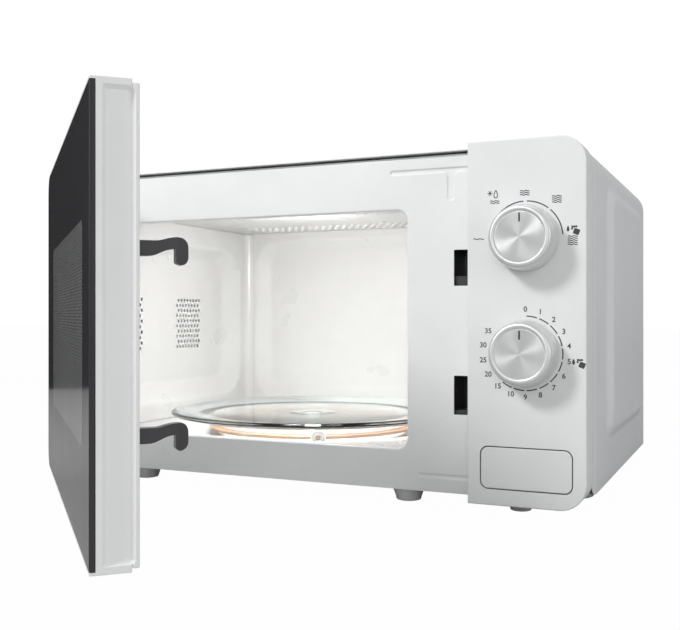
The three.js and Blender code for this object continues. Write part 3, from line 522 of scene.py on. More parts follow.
class Groups:
    """The node groups that the finishes share, each made once."""

    row_share = 0.5774  # how fast the dots repeat upward, as a share of their rate across

    def __init__(self) -> None:
        """Makes the groups."""
        self.mottle = self._mottle()
        self.grain = self._grain()
        self.dust = self._dust()
        self.spun = self._spun()
        self.lines = self._lines()
        self.lattice = self._lattice()

    @staticmethod
    def _new(name: str, inputs: dict[str, object], outputs: dict[str, str]) -> tuple:
        """Starts a group.

        Args:
            name: The group's name.
            inputs: Default value of each input.
            outputs: Socket kind of each output.

        Returns:
            The group, its tree, its input node and its output node.
        """
        group = bpy.data.node_groups.new(name, "ShaderNodeTree")
        for label, value in inputs.items():
            kind = "NodeSocketColor" if isinstance(value, tuple) else "NodeSocketFloat"
            socket = group.interface.new_socket(name=label, in_out="INPUT", socket_type=kind)
            socket.default_value = (*value, 1.0) if isinstance(value, tuple) else value
        for label, kind in outputs.items():
            group.interface.new_socket(name=label, in_out="OUTPUT", socket_type="NodeSocket" + kind)
        tree = Tree(group)
        return group, tree, tree.add("NodeGroupInput"), tree.add("NodeGroupOutput")

    def _mottle(self) -> bpy.types.NodeTree:
        """Makes slow colour variation between two tones.

        Returns:
            The group.
        """
        group, t, given, out = self._new(
            "tone_mottle", {"Tone": (0.8,) * 3, "Second tone": (0.7,) * 3, "Scale": 40.0, "Share": 0.5},
            {"Colour": "Color"})
        place = t.add("TexCoord").outputs["Object"]
        slow = t.add("TexNoise", {"Vector": place, "Scale": given.outputs["Scale"], "Detail": 5.0})
        share = t.add("MapRange", {"Value": slow.outputs[0], "From Min": 0.35, "From Max": 0.7})
        mask = t.math("MULTIPLY", share.outputs[0], given.outputs["Share"])
        colour = t.blend(mask, given.outputs["Tone"], given.outputs["Second tone"])
        t.tree.links.new(colour, out.inputs["Colour"])
        return group

    def _grain(self) -> bpy.types.NodeTree:
        """Makes fine surface grain and an uneven gloss.

        Returns:
            The group.
        """
        group, t, given, out = self._new(
            "surface_grain", {"Scale": 900.0, "Roughness": 0.4, "Spread": 0.08},
            {"Height": "Float", "Roughness": "Float"})
        place = t.add("TexCoord").outputs["Object"]
        fine = t.add("TexNoise", {"Vector": place, "Scale": given.outputs["Scale"], "Detail": 2.0})
        slow = t.add("TexNoise", {"Vector": place, "Scale": 22.0, "Detail": 4.0})
        swing = t.math("MULTIPLY", t.math("SUBTRACT", slow.outputs[0], 0.5), given.outputs["Spread"])
        rough = t.math("MULTIPLY_ADD", swing, 2.0, given.outputs["Roughness"])
        t.tree.links.new(fine.outputs[0], out.inputs["Height"])
        t.tree.links.new(rough, out.inputs["Roughness"])
        return group

    def _dust(self) -> bpy.types.NodeTree:
        """Makes a thin film of dust on faces that look up.

        Returns:
            The group.
        """
        group, t, given, out = self._new(
            "settled_dust", {"Colour": (0.8,) * 3, "Dust": (0.45, 0.43, 0.4), "Amount": 0.1},
            {"Colour": "Color"})
        up = t.add("SeparateXYZ", {0: t.add("NewGeometry").outputs["Normal"]}).outputs["Z"]
        place = t.add("TexCoord").outputs["Object"]
        noise = t.add("TexNoise", {"Vector": place, "Scale": 70.0, "Detail": 6.0})
        film = t.math("MULTIPLY", t.math("MAXIMUM", up, 0.0), noise.outputs[0])
        mask = t.math("MULTIPLY", film, given.outputs["Amount"])
        dusty = t.blend(mask, given.outputs["Colour"], given.outputs["Dust"])
        t.tree.links.new(dusty, out.inputs["Colour"])
        return group

    def _spun(self) -> bpy.types.NodeTree:
        """Makes fine rings round a piece's own middle, as a lathe leaves them.

        Returns:
            The group.
        """
        group, t, given, out = self._new(
            "spun_rings", {"Rings": 90.0}, {"Height": "Float", "Shade": "Float"})
        place = t.add("SeparateXYZ", {0: t.add("TexCoord").outputs["Generated"]})
        across = t.math("SUBTRACT", place.outputs["X"], 0.5)
        upward = t.math("SUBTRACT", place.outputs["Z"], 0.5)
        squares = [t.math("MULTIPLY", leg, leg) for leg in (across, upward)]
        away = t.math("SQRT", t.math("ADD", *squares))
        turns = t.math("MULTIPLY", away, given.outputs["Rings"])
        rings = t.add("TexNoise", {"W": turns, "Scale": 5.0, "Detail": 3.0}, noise_dimensions="1D")
        t.tree.links.new(rings.outputs[0], out.inputs["Height"])
        t.tree.links.new(rings.outputs[0], out.inputs["Shade"])
        return group

    def _lines(self) -> bpy.types.NodeTree:
        """Makes level lines, for stacked sheets and wound wire.

        Returns:
            The group.
        """
        group, t, given, out = self._new("level_lines", {"Scale": 300.0, "Wobble": 0.4}, {"Height": "Float"})
        place = t.add("TexCoord").outputs["Object"]
        wave = t.add("TexWave", {"Vector": place, "Scale": given.outputs["Scale"],
                                 "Distortion": given.outputs["Wobble"]}, bands_direction="Z")
        t.tree.links.new(wave.outputs[1], out.inputs["Height"])
        return group

    def _lattice(self) -> bpy.types.NodeTree:
        """Makes round dots in staggered rows on the piece's own map.

        Returns:
            The group.
        """
        group, t, given, out = self._new("dot_lattice", {"Pitch": 0.002, "Size": 0.5}, {"Dots": "Float"})
        place = t.add("SeparateXYZ", {0: t.add("TexCoord").outputs["UV"]})
        turns = t.math("DIVIDE", math.tau, given.outputs["Pitch"])
        half, row = t.math("MULTIPLY", turns, 0.5), t.math("MULTIPLY", turns, self.row_share)
        columns = t.math("COSINE", t.math("MULTIPLY", place.outputs["X"], turns))
        rows = t.math("COSINE", t.math("MULTIPLY", place.outputs["Y"], row))
        stagger = t.math("COSINE", t.math("MULTIPLY", place.outputs["X"], half))
        crossing = t.math("MULTIPLY", t.math("MULTIPLY", rows, stagger), 2.0)
        edge = t.math("MULTIPLY_ADD", given.outputs["Size"], -4.0, 3.0)
        dots = t.math("GREATER_THAN", t.math("ADD", columns, crossing), edge)
        t.tree.links.new(dots, out.inputs["Dots"])
        return group


# ---------------------------------------------------------------- finishes
class Surface(Enum):
    """How a finish is made."""

    PLAIN = "plain"
    SPUN = "spun"
    LAYERED = "layered"
    CLEAR = "clear"
    SPANGLE = "spangle"
    PIERCED = "pierced"
    PANE = "pane"


@dataclass(frozen=True)
class Finish:
    """One finish, named as the record names its slot."""

    slot: str
    tone: Colour
    second: Colour
    roughness: float = 0.4
    metallic: float = 0.0
    scale: float = 30.0
    share: float = 0.5
    grain: float = 900.0
    bump: float = 0.05
    spread: float = 0.05
    dust: float = 0.08
    coat: float = 0.0
    surface: Surface = Surface.PLAIN
    detail: float = 300.0
    anisotropy: float = 0.0
    dot_size: float = 0.5
    specular: float = 0.5

    def make(self, groups: Groups) -> bpy.types.Material:
        """Builds the finish's material.

        Args:
            groups: The shared node groups.

        Returns:
            The material.
        """
        material = bpy.data.materials.new(self.slot)
        material.use_nodes = True
        t = Tree(material.node_tree)
        shader = t.tree.nodes["Principled BSDF"]
        dotted = self.surface in (Surface.PIERCED, Surface.PANE)
        near = tuple(c * 0.9 for c in self.tone) if dotted else self.second
        mottle = self._group(t, groups.mottle, {
            "Tone": self.tone, "Second tone": near, "Scale": self.scale, "Share": self.share})
        colour = mottle.outputs["Colour"]
        grain = self._group(t, groups.grain, {
            "Scale": self.grain, "Roughness": self.roughness, "Spread": self.spread})
        height, rough = grain.outputs["Height"], grain.outputs["Roughness"]
        if self.surface is Surface.SPUN:
            height, colour = self._spin(t, groups, colour)
            tangent = t.add("Tangent", direction_type="RADIAL", axis="Y")
            t.tree.links.new(tangent.outputs[0], shader.inputs["Tangent"])
        elif self.surface is Surface.LAYERED:
            lines = self._group(t, groups.lines, {"Scale": self.detail})
            height = lines.outputs["Height"]
            colour = t.blend(height, tuple(c * 0.35 for c in self.tone), colour)
        elif self.surface is Surface.SPANGLE:
            cells = t.add("TexVoronoi", {"Vector": t.add("TexCoord").outputs["Object"], "Scale": self.detail})
            shade = t.add("SeparateColor", {0: cells.outputs["Color"]}).outputs[0]
            colour = t.blend(t.math("MULTIPLY", shade, 0.5), colour, self.second)
        elif dotted:
            dots = self._group(t, groups.lattice, {"Pitch": self.detail * MM, "Size": self.dot_size})
            colour = t.blend(dots.outputs["Dots"], colour, self.second)
        if self.dust:
            film = self._group(t, groups.dust, {"Colour": colour, "Amount": self.dust})
            colour = film.outputs["Colour"]
        bump = t.add("Bump", {"Height": height, "Strength": self.bump, "Distance": 0.0003})
        t.tree.links.new(colour, shader.inputs["Base Color"])
        t.tree.links.new(rough, shader.inputs["Roughness"])
        t.tree.links.new(bump.outputs[0], shader.inputs["Normal"])
        plain = {"Metallic": self.metallic, "Coat Weight": self.coat, "Coat Roughness": 0.08,
                 "Specular IOR Level": self.specular, "Anisotropic": self.anisotropy}
        for name, value in plain.items():
            shader.inputs[name].default_value = value
        if self.surface is Surface.CLEAR:
            shader.inputs["Transmission Weight"].default_value = 1.0
            shader.inputs["IOR"].default_value = 1.47
            self._let_light_through(t, shader)
        return material

    @staticmethod
    def _group(t: Tree, group: bpy.types.NodeTree, inputs: dict) -> bpy.types.Node:
        """Places a shared group with this finish's own values.

        Args:
            t: The material's tree.
            group: The shared group.
            inputs: Values or sockets for its inputs, by name.

        Returns:
            The node that holds the group.
        """
        node = t.add("Group")
        node.node_tree = group
        for name, value in inputs.items():
            if isinstance(value, bpy.types.NodeSocket):
                t.tree.links.new(value, node.inputs[name])
            else:
                node.inputs[name].default_value = (*value, 1.0) if isinstance(value, tuple) else value
        return node

    def _spin(self, t: Tree, groups: Groups, colour: bpy.types.NodeSocket) -> tuple:
        """Adds lathe rings to a metal.

        Args:
            t: The material's tree.
            groups: The shared node groups.
            colour: The metal's colour so far.

        Returns:
            The height of the rings and the new colour.
        """
        rings = self._group(t, groups.spun, {"Rings": self.detail})
        shade = t.math("MULTIPLY", rings.outputs["Shade"], 0.35)
        return rings.outputs["Height"], t.blend(shade, colour, self.second)

    @staticmethod
    def _let_light_through(t: Tree, shader: bpy.types.Node) -> None:
        """Lets light pass a clear piece without a dark shadow behind it.

        Args:
            t: The material's tree.
            shader: The piece's own shader.
        """
        path = t.add("LightPath")
        clear = t.add("BsdfTransparent", {"Color": (0.93, 0.95, 0.94)})
        shadow = path.outputs["Is Shadow Ray"]
        mix = t.add("MixShader", {0: shadow, 1: shader.outputs[0], 2: clear.outputs[0]})
        t.tree.links.new(mix.outputs[0], t.tree.nodes["Material Output"].inputs["Surface"])


FINISHES = (
    Finish("casing_paint", srgb(226, 228, 229), srgb(218, 220, 222), 0.38, share=0.35, grain=1400,
           bump=0.12, dust=0.15),
    Finish("front_paint", srgb(240, 241, 241), srgb(232, 233, 234), 0.3, grain=700, bump=0.03, coat=0.2),
    Finish("cavity_enamel", srgb(209, 208, 207), srgb(202, 201, 200), 0.28, scale=60,
           share=0.3, grain=1100, bump=0.05, spread=0.02, dust=0.03),
    Finish("galvanised_sheet", srgb(176, 180, 184), srgb(140, 145, 150), 0.42, 0.85, grain=500,
           surface=Surface.SPANGLE, detail=90.0),
    Finish("panel_plastic", srgb(232, 233, 233), srgb(225, 226, 227), 0.42, grain=1800, bump=0.06),
    Finish("button_plastic", srgb(230, 231, 231), srgb(223, 224, 225), 0.38, grain=1800, bump=0.05),
    Finish("door_plastic", srgb(240, 241, 241), srgb(233, 234, 234), 0.42, grain=1600, bump=0.06),
    Finish("door_glass", srgb(58, 58, 61), srgb(52, 52, 55), 0.14, spread=0.03, bump=0.0, dust=0.03,
           specular=0.35),
    Finish("screen_steel", srgb(205, 207, 208), srgb(28, 28, 30), 0.35, 0.6, surface=Surface.PIERCED,
           detail=2.4, dot_size=0.62),
    Finish("choke_paint", srgb(214, 216, 217), srgb(200, 202, 204), 0.4, grain=900),
    Finish("latch_plastic", srgb(56, 56, 59), srgb(47, 47, 50), 0.3, grain=1500, bump=0.08, specular=0.8),
    Finish("spring_steel", srgb(150, 152, 155), srgb(110, 112, 115), 0.3, 1.0,
           surface=Surface.LAYERED, detail=520.0),
    Finish("knob_aluminium", srgb(232, 233, 233), srgb(204, 206, 207), 0.34, 0.62, bump=0.08,
           spread=0.02, dust=0.0, surface=Surface.SPUN, detail=90.0, anisotropy=0.85),
    Finish("tray_glass", srgb(236, 242, 240), srgb(228, 236, 233), 0.03, spread=0.01, bump=0.01, dust=0.0,
           surface=Surface.CLEAR),
    Finish("ring_moulding", srgb(194, 158, 136), srgb(180, 142, 120), 0.42, grain=1300),
    Finish("white_nylon", srgb(235, 234, 230), srgb(224, 222, 216), 0.45, grain=1300),
    Finish("foot_rubber", srgb(216, 218, 216), srgb(198, 200, 198), 0.7, grain=1200, bump=0.25),
    Finish("magnetron_metal", srgb(196, 198, 200), srgb(150, 152, 156), 0.35, 1.0,
           surface=Surface.LAYERED, detail=110.0),
    Finish("capacitor_can", srgb(190, 192, 194), srgb(160, 162, 165), 0.3, 1.0, grain=400),
    Finish("lamination_steel", srgb(96, 92, 88), srgb(70, 66, 62), 0.55, 0.7,
           surface=Surface.LAYERED, detail=420.0),
    Finish("copper_winding", srgb(184, 106, 62), srgb(140, 72, 38), 0.3, 0.9,
           surface=Surface.LAYERED, detail=380.0),
    Finish("black_moulding", srgb(44, 44, 46), srgb(34, 34, 36), 0.5, grain=1200, bump=0.1),
    Finish("mica_sheet", srgb(212, 204, 184), srgb(186, 176, 150), 0.38, scale=90, coat=0.3),
    Finish("lamp_glass", srgb(246, 244, 236), srgb(238, 234, 222), 0.04, spread=0.01, dust=0.0,
           surface=Surface.CLEAR),
    Finish("circuit_board", srgb(36, 88, 54), srgb(26, 66, 40), 0.4, scale=140),
)

PRINT = Finish("printed_mark", srgb(58, 59, 62), srgb(72, 73, 76), 0.5, grain=1800, dust=0.0)
WINDOW = Finish("window_dots", srgb(46, 46, 48), srgb(205, 206, 207), 0.16, bump=0.0, dust=0.02,
                surface=Surface.PANE, detail=2.1, dot_size=0.55, specular=0.35)


# ---------------------------------------------------------------- making pieces
class Workshop:
    """Turns forms into dressed pieces that ride on the frame's bodies."""

    def __init__(self, datum: Datum) -> None:
        """Makes the finishes and dresses every node of the frame.

        Args:
            datum: Where the oven lies in the frame.
        """
        self.datum = datum
        groups = Groups()
        self.materials = {f.slot: f.make(groups) for f in FINISHES}
        self.ink = PRINT.make(groups)
        self.window = WINDOW.make(groups)
        for row in frame["record"]["subparts"]:
            node = frame["nodes"][row["node"]]
            node.data.materials.clear()
            node.data.materials.append(self.materials[row["material_slot"]])

    def mesh(self, form: Form, name: str, door: bool = False, facing: Optional[Point3] = None,
             sharp: float = 35.0, mapped: bool = False) -> bpy.types.Object:
        """Builds an object from a form and puts it in place.

        Args:
            form: The drawn form.
            name: The object's name.
            door: Whether the form belongs to the door.
            facing: Which way most of an open sheet looks.
            sharp: Angle in degrees from which an edge stays crisp.
            mapped: Whether the piece gets a flat map of X and Z.

        Returns:
            The object.
        """
        mesh = bpy.data.meshes.new(name)
        mesh.from_pydata(form.points, [], form.faces)
        shape = bmesh.new()
        shape.from_mesh(mesh)
        bmesh.ops.remove_doubles(shape, verts=shape.verts, dist=0.004)
        bmesh.ops.dissolve_degenerate(shape, edges=shape.edges, dist=0.002)
        bmesh.ops.recalc_face_normals(shape, faces=shape.faces)
        if facing:
            lean = sum((f.normal * f.calc_area() for f in shape.faces), Vector())
            if lean.dot(Vector(facing)) < 0:
                bmesh.ops.reverse_faces(shape, faces=shape.faces)
        if mapped:
            layer = shape.loops.layers.uv.new("flat")
            for face in shape.faces:
                for corner in face.loops:
                    corner[layer].uv = (corner.vert.co.x * MM, corner.vert.co.z * MM)
        place = self.datum.on_door if door else self.datum.fixed
        for vert in shape.verts:
            vert.co = place(vert.co)
        shape.to_mesh(mesh)
        shape.free()
        mesh.shade_smooth()
        mesh.set_sharp_from_angle(angle=math.radians(sharp))
        made = bpy.data.objects.new(name, mesh)
        bpy.context.scene.collection.objects.link(made)
        return made

    def piece(self, form: Form, name: str, body: str, slot: str, stands_for: Sequence[str] = (),
              sheet: float = 0.0, edge: float = 0.0, ink: bool = False, cutters: Sequence[Form] = (),
              **kind: object) -> bpy.types.Object:
        """Makes a finished piece.

        Args:
            form: The drawn form.
            name: The piece's name.
            body: The body it rides on.
            slot: The record's slot of its finish.
            stands_for: Nodes of the frame that it replaces.
            sheet: Thickness given to an open sheet, away from its face.
            edge: Width of the softened edges.
            ink: Whether it is a printed mark.
            cutters: Forms cut away from it.
            kind: What mesh() also takes.

        Returns:
            The piece.
        """
        made = self.mesh(form, name, **kind)
        if cutters:
            self._cut(made, cutters, bool(kind.get("door")))
        if sheet:
            skin = made.modifiers.new("sheet", "SOLIDIFY")
            skin.thickness, skin.offset = sheet * MM, -1.0
            skin.use_even_offset = True
        if edge:
            soft = made.modifiers.new("edge", "BEVEL")
            soft.width, soft.segments = edge * MM, 2
            soft.limit_method, soft.angle_limit = "ANGLE", math.radians(50)
            soft.harden_normals = True
        even = made.modifiers.new("normals", "WEIGHTED_NORMAL")
        even.keep_sharp, even.weight = True, 90
        made.data.materials.clear()
        made.data.materials.append(self.ink if ink else self.materials[slot])
        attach(made, body)
        if stands_for:
            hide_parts(*stands_for)
        log.info("%s rides on %s", name, body)
        return made

    def _cut(self, made: bpy.types.Object, cutters: Sequence[Form], door: bool) -> None:
        """Cuts forms away from a piece.

        Args:
            made: The piece.
            cutters: The forms to cut away.
            door: Whether they belong to the door.
        """
        tools = [self.mesh(c, f"{made.name}_cutter", door=door) for c in cutters]
        for tool in tools:
            hole = made.modifiers.new("cut", "BOOLEAN")
            hole.operation, hole.solver, hole.object = "DIFFERENCE", "EXACT", tool
        bpy.context.view_layer.update()
        whole = made.evaluated_get(bpy.context.evaluated_depsgraph_get())
        cut = bpy.data.meshes.new_from_object(whole)
        made.modifiers.clear()
        made.data = cut
        cut.shade_smooth()
        cut.set_sharp_from_angle(angle=math.radians(35))
        for tool in tools:
            bpy.data.objects.remove(tool)


# ---------------------------------------------------------------- outer casing
@dataclass
class Casing:
    """The painted wrap-around sheet with a pressed field on each side."""

    corner: float = 20.0
    field_height: float = 4.5
    field_slope: float = 10.0
    field_rear_slope: float = 26.0
    field_front: float = 57.0
    field_rear: float = 17.0
    field_bottom: float = 45.5
    field_top: float = 23.0
    field_corner: float = 18.0
    field_inner_corner: float = 12.0
    hem: float = 9.0
    hem_step: float = 0.7
    front_round: float = 12.0

    def build(self, shop: Workshop) -> None:
        """Draws the sheet over its whole girth and presses the fields.

        Args:
            shop: The workshop that makes the pieces.
        """
        lo, hi = shop.datum.span("outer_casing")
        side = hi.x - self.field_height
        top = hi.z
        outer = (self.field_front, hi.y - self.field_rear, self.field_bottom, top - self.field_top,
                 self.field_corner)
        inner = (outer[0] + self.field_slope, outer[1] - self.field_rear_slope,
                 outer[2] + self.field_slope, outer[3] - self.field_slope, self.field_inner_corner)
        press = Press(outer, inner, self.field_height)
        heights = stations(lo.z, top - self.corner, COARSE, [
            (outer[2] - 1, inner[2] + 1, 1.7), (inner[3] - 9, outer[3] + 1, 1.7)])
        girth = self._girth(side, top, heights)
        depths = stations(0, hi.y, COARSE, [
            (0, self.hem + 2, 1.5), (outer[0] - 1, inner[0] + 8, 1.7), (inner[1] - 8, outer[1] + 1, 2.5)])

        def at(i: float, y: float) -> Point3:
            """Places a point of the sheet.

            Args:
                i: Number of the place in the section.
                y: How far to the rear it is.

            Returns:
                The point.
            """
            x, z, nx, nz = girth[int(i)]
            lift = press.at(y, z) if abs(nx) > 0.99 and z < top - self.corner + 0.1 else 0.0
            lift -= self.hem_step * (1 - ease((y - self.hem) / 1.2)) * abs(nx)
            drop = max(0.0, self.front_round - y)
            foot = lo.z + self.front_round - math.sqrt(self.front_round ** 2 - drop ** 2)
            return x + nx * lift, y, max(z, foot) + nz * lift

        form = Form()
        form.grid(range(len(girth)), depths, at)
        shop.piece(form, "casing_shell", "cabinet", "casing_paint", ["outer_casing"], sheet=1.0,
                   facing=(0, 0, 1), sharp=50)

    def _girth(self, side: float, top: float,
               heights: Sequence[float]) -> list[tuple[float, float, float, float]]:
        """Walks over the section from the right foot to the left one.

        Args:
            side: Distance of the side wall from the middle.
            top: Height of the top.
            heights: Stations on the side wall.

        Returns:
            X and Z of each place, and the way that the sheet looks there.
        """
        half = [(side, z, 1.0, 0.0) for z in heights]
        for angle in range(9, 90, 9):
            a = math.radians(angle)
            half.append((side - self.corner * (1 - math.cos(a)), top - self.corner * (1 - math.sin(a)),
                         math.cos(a), math.sin(a)))
        flat = side - self.corner
        half += [(flat - i * flat / 12, top, 0.0, 1.0) for i in range(13)]
        return half + [(-x, z, -nx, nz) for x, z, nx, nz in reversed(half[:-1])]


@dataclass
class BackPanel:
    """The rear sheet with its louvre slots, bushing hole and screws."""

    slot_rows: int = 7
    slot_pitch: float = 14.0
    slot_drop: float = 60.0
    slot_size: tuple[float, float] = (38.0, 5.0)
    slot_columns: tuple[float, float] = (22.0, 68.0)
    slot_lip: tuple[Point2, ...] = ((-0.8, 0.0), (-0.2, 0.3), (0.0, 0.9))
    bushing_hole: float = 7.0
    field_corner: float = 16.0
    field_slope: tuple[Point2, ...] = ((0, 0), (1.0, -0.2), (3.5, -1.0), (4.5, -1.2))
    corner: float = 18.0

    def build(self, shop: Workshop) -> None:
        """Draws the sheet and sets the screws.

        Args:
            shop: The workshop that makes the pieces.
        """
        lo, hi = shop.datum.span("back_panel")
        wall, _ = shop.datum.span("cavity_right_wall")
        bush_lo, bush_hi = shop.datum.span("cord_bushing")
        form = Form()
        holes = []
        width, height = self.slot_size
        for row in range(self.slot_rows):
            z = hi.z + 1.3 - self.slot_drop - row * self.slot_pitch
            for x in (wall.x + reach for reach in self.slot_columns):
                slot = rect(x, x + width, z - height / 2, z + height / 2, height / 2 - 0.05)
                lip = form.wall(across_y(outline(slot, i), hi.y - d) for i, d in self.slot_lip)
                holes.append(lip[0])
        cx, cz = (bush_lo.x + bush_hi.x) / 2, (bush_lo.z + bush_hi.z) / 2
        holes.append(form.ring(across_y(circle(cx, cz, self.bushing_hole, 24), hi.y)))
        shape = rect(lo.x + 26, wall.x - 14, lo.z + 28, hi.z - 30, self.field_corner)
        pressed = form.wall(across_y(outline(shape, i, 8), hi.y - d) for i, d in self.field_slope)
        form.cap(pressed[-1])
        holes.append(pressed[0])
        sheet = rect(lo.x, hi.x, lo.z, hi.z, (0.3, 0.3, self.corner, self.corner))
        form.cap(form.ring(across_y(outline(sheet, 0, 8), hi.y)), *holes)
        shop.piece(form, "rear_sheet", "cabinet", "galvanised_sheet", ["back_panel"], sheet=SHEET,
                   facing=(0, 1, 0))
        spots = [(x, z) for z in (lo.z + 8, (lo.z + hi.z) / 2, hi.z - 22) for x in (lo.x + 8, hi.x - 8)]
        spots += [(x, hi.z - 8) for x in (lo.x + 90, hi.x - 90)]
        spots += [(x, lo.z + 8) for x in (lo.x + 150, hi.x - 130)]
        for number, (x, z) in enumerate(spots, 1):
            self.screw(shop, number, x, z, hi.y)

    @staticmethod
    def screw(shop: Workshop, number: int, x: float, z: float, y: float) -> None:
        """Sets one round-headed screw with a cross recess.

        Args:
            shop: The workshop that makes the pieces.
            number: The screw's number.
            x: Where it stands across the sheet.
            z: Its height.
            y: The sheet's rear face.
        """
        head = Form()
        head.turned([(0.01, y + 0.02), (4.6, y + 0.02), (4.7, y + 0.35), (3.9, y + 1.1), (3.0, y + 1.7),
                     (1.6, y + 2.1), (0.01, y + 2.25)], (x, z), across_y, 24)
        cross = []
        for turn in (0, 1):
            bar = Form()
            a, b = (2.0, 0.42) if turn else (0.42, 2.0)
            bar.slab(rect(x - a, x + a, z - b, z + b, 0.2), y + 1.0, y + 3.0, edge=0.05, steps=2)
            cross.append(bar)
        shop.piece(head, f"rear_screw_{number}", "cabinet", "galvanised_sheet", cutters=cross)


@dataclass
class BasePan:
    """The folded base pan with three pressed fields."""

    corner: float = 12.0
    margin: float = 0.6
    press: float = 1.4
    fields: int = 3
    field_gap: float = 30.0
    field_corner: float = 14.0
    field_slope: tuple[Point2, ...] = ((0.0, 0.0), (0.8, 0.2), (3.0, 0.85), (4.0, 1.0))

    def build(self, shop: Workshop) -> None:
        """Draws the pan with its upturned rim.

        Args:
            shop: The workshop that makes the pieces.
        """
        lo, hi = shop.datum.span("base_plate")
        form = Form()
        m = self.margin
        border = rect(lo.x + m, hi.x - m, lo.y + m, hi.y - m, self.corner)
        rim = [(0.0, hi.z), (0.0, lo.z + 2.0), (0.6, lo.z + 0.6), (2.0, lo.z)]
        rings = form.wall(across_z(outline(border, i, 8), z) for i, z in rim)
        holes = []
        width = (hi.x - lo.x - 150) / self.fields
        for number in range(self.fields):
            x = lo.x + 45 + number * (width + self.field_gap)
            shape = rect(x, x + width, lo.y + 42, hi.y - 48, self.field_corner)
            pressed = form.wall(across_z(outline(shape, i, 8), lo.z + d * self.press)
                                for i, d in self.field_slope)
            form.cap(pressed[-1])
            holes.append(pressed[0])
        form.cap(rings[-1], *holes)
        shop.piece(form, "base_pan", "cabinet", "galvanised_sheet", ["base_plate"], sheet=SHEET,
                   facing=(0, 0, -1))


# ---------------------------------------------------------------- steel front
@dataclass
class FrontPlate:
    """The white steel front with the oven opening, latch slots and pressed grooves."""

    side_lip: float = 6.0
    bottom_lip: float = 3.6
    top_lip: float = 14.6
    opening_corner: float = 8.0
    roll: float = 1.6
    flange: float = 8.0
    slots: tuple[tuple[float, float], ...] = ((66.6, 94.6), (159.2, 185.1))
    hinge_height: float = 20.0
    press: float = 1.1
    groove_slope: tuple[Point2, ...] = ((0, 0), (0.35, 0.12), (1.1, 0.88), (1.45, 1.0))
    upper_groove: tuple[Corner, ...] = (
        (78.4, 240.9, 2.0), (122.4, 240.9, 3.0), (122.4, 220.4, 2.9), (129.0, 220.4, 2.9),
        (129.0, 240.9, 3.0), (149.4, 240.9, 0.3), (149.4, 245.2, 0.3), (78.4, 245.2, 2.0))
    lower_groove: tuple[float, float, float, float] = (100.6, 149.4, 19.4, 23.4)

    def build(self, shop: Workshop) -> None:
        """Draws the sheet with everything pressed and cut into it.

        Args:
            shop: The workshop that makes the pieces.
        """
        span = shop.datum.span
        lo, hi = span("front_plate")
        form = Form()
        holes = [self._mouth(shop, form)]
        latch_lo, latch_hi = span("latch_body")
        for low, high in self.slots:
            slot = rect(latch_lo.x + 4, latch_hi.x - 5, low, high, 0.6)
            holes.append(form.ring(across_y(outline(slot, 0, 3), 0)))
        pin_lo, pin_hi = span("hinge_top")
        middle = (pin_lo.x + pin_hi.x) / 2
        slit = rect(middle - 6.6, middle + 6.6, self.hinge_height - 1.4, self.hinge_height + 1.4, 0.5)
        holes.append(form.ring(across_y(outline(slit, 0, 3), 0)))
        for corners in (self.upper_groove, rect(*self.lower_groove, (1.9, 0.3, 0.3, 1.9))):
            groove = form.wall(across_y(outline(corners, i, 5), d * self.press)
                               for i, d in self.groove_slope)
            form.cap(groove[-1])
            holes.append(groove[0])
        sheet = rect(lo.x, hi.x, lo.z, hi.z, (0.4, 0.4, 0.4, 20))
        form.cap(form.ring(across_y(outline(sheet, 0, 8), 0)), *holes)
        lip = Form()
        lip.slab(rect(lo.x + 22, hi.x, hi.z - 3, hi.z + 2.2, 0.3), 4.2, 5.1, edge=0.2, steps=2)
        shop.piece(lip, "front_sheet_lip", "cabinet", "front_paint")
        shop.piece(form, "front_sheet", "cabinet", "front_paint", ["front_plate"], sheet=0.9,
                   facing=(0, -1, 0), sharp=28)

    def _mouth(self, shop: Workshop, form: Form) -> list[int]:
        """Draws the rolled edge and the flange of the oven's opening.

        Args:
            shop: Where the frame's nodes are looked up.
            form: The sheet's form.

        Returns:
            The outer ring, at which the flat of the sheet begins.
        """
        span = shop.datum.span
        x0 = span("cavity_left_wall")[1].x + self.side_lip
        x1 = span("cavity_right_wall")[0].x - self.side_lip
        z0 = span("cavity_floor")[1].z + self.bottom_lip
        z1 = span("cavity_ceiling")[0].z - self.top_lip
        mouth = rect(x0, x1, z0, z1, self.opening_corner)
        rings = []
        for a in (0.0, 0.4, 0.8, 1.2, math.pi / 2):
            inset = -self.roll * (1 - math.sin(a))
            rings.append(across_y(outline(mouth, inset, 10), self.roll * (1 - math.cos(a))))
        rings.append(across_y(outline(mouth, 0, 10), self.flange))
        return form.wall(rings)[0]


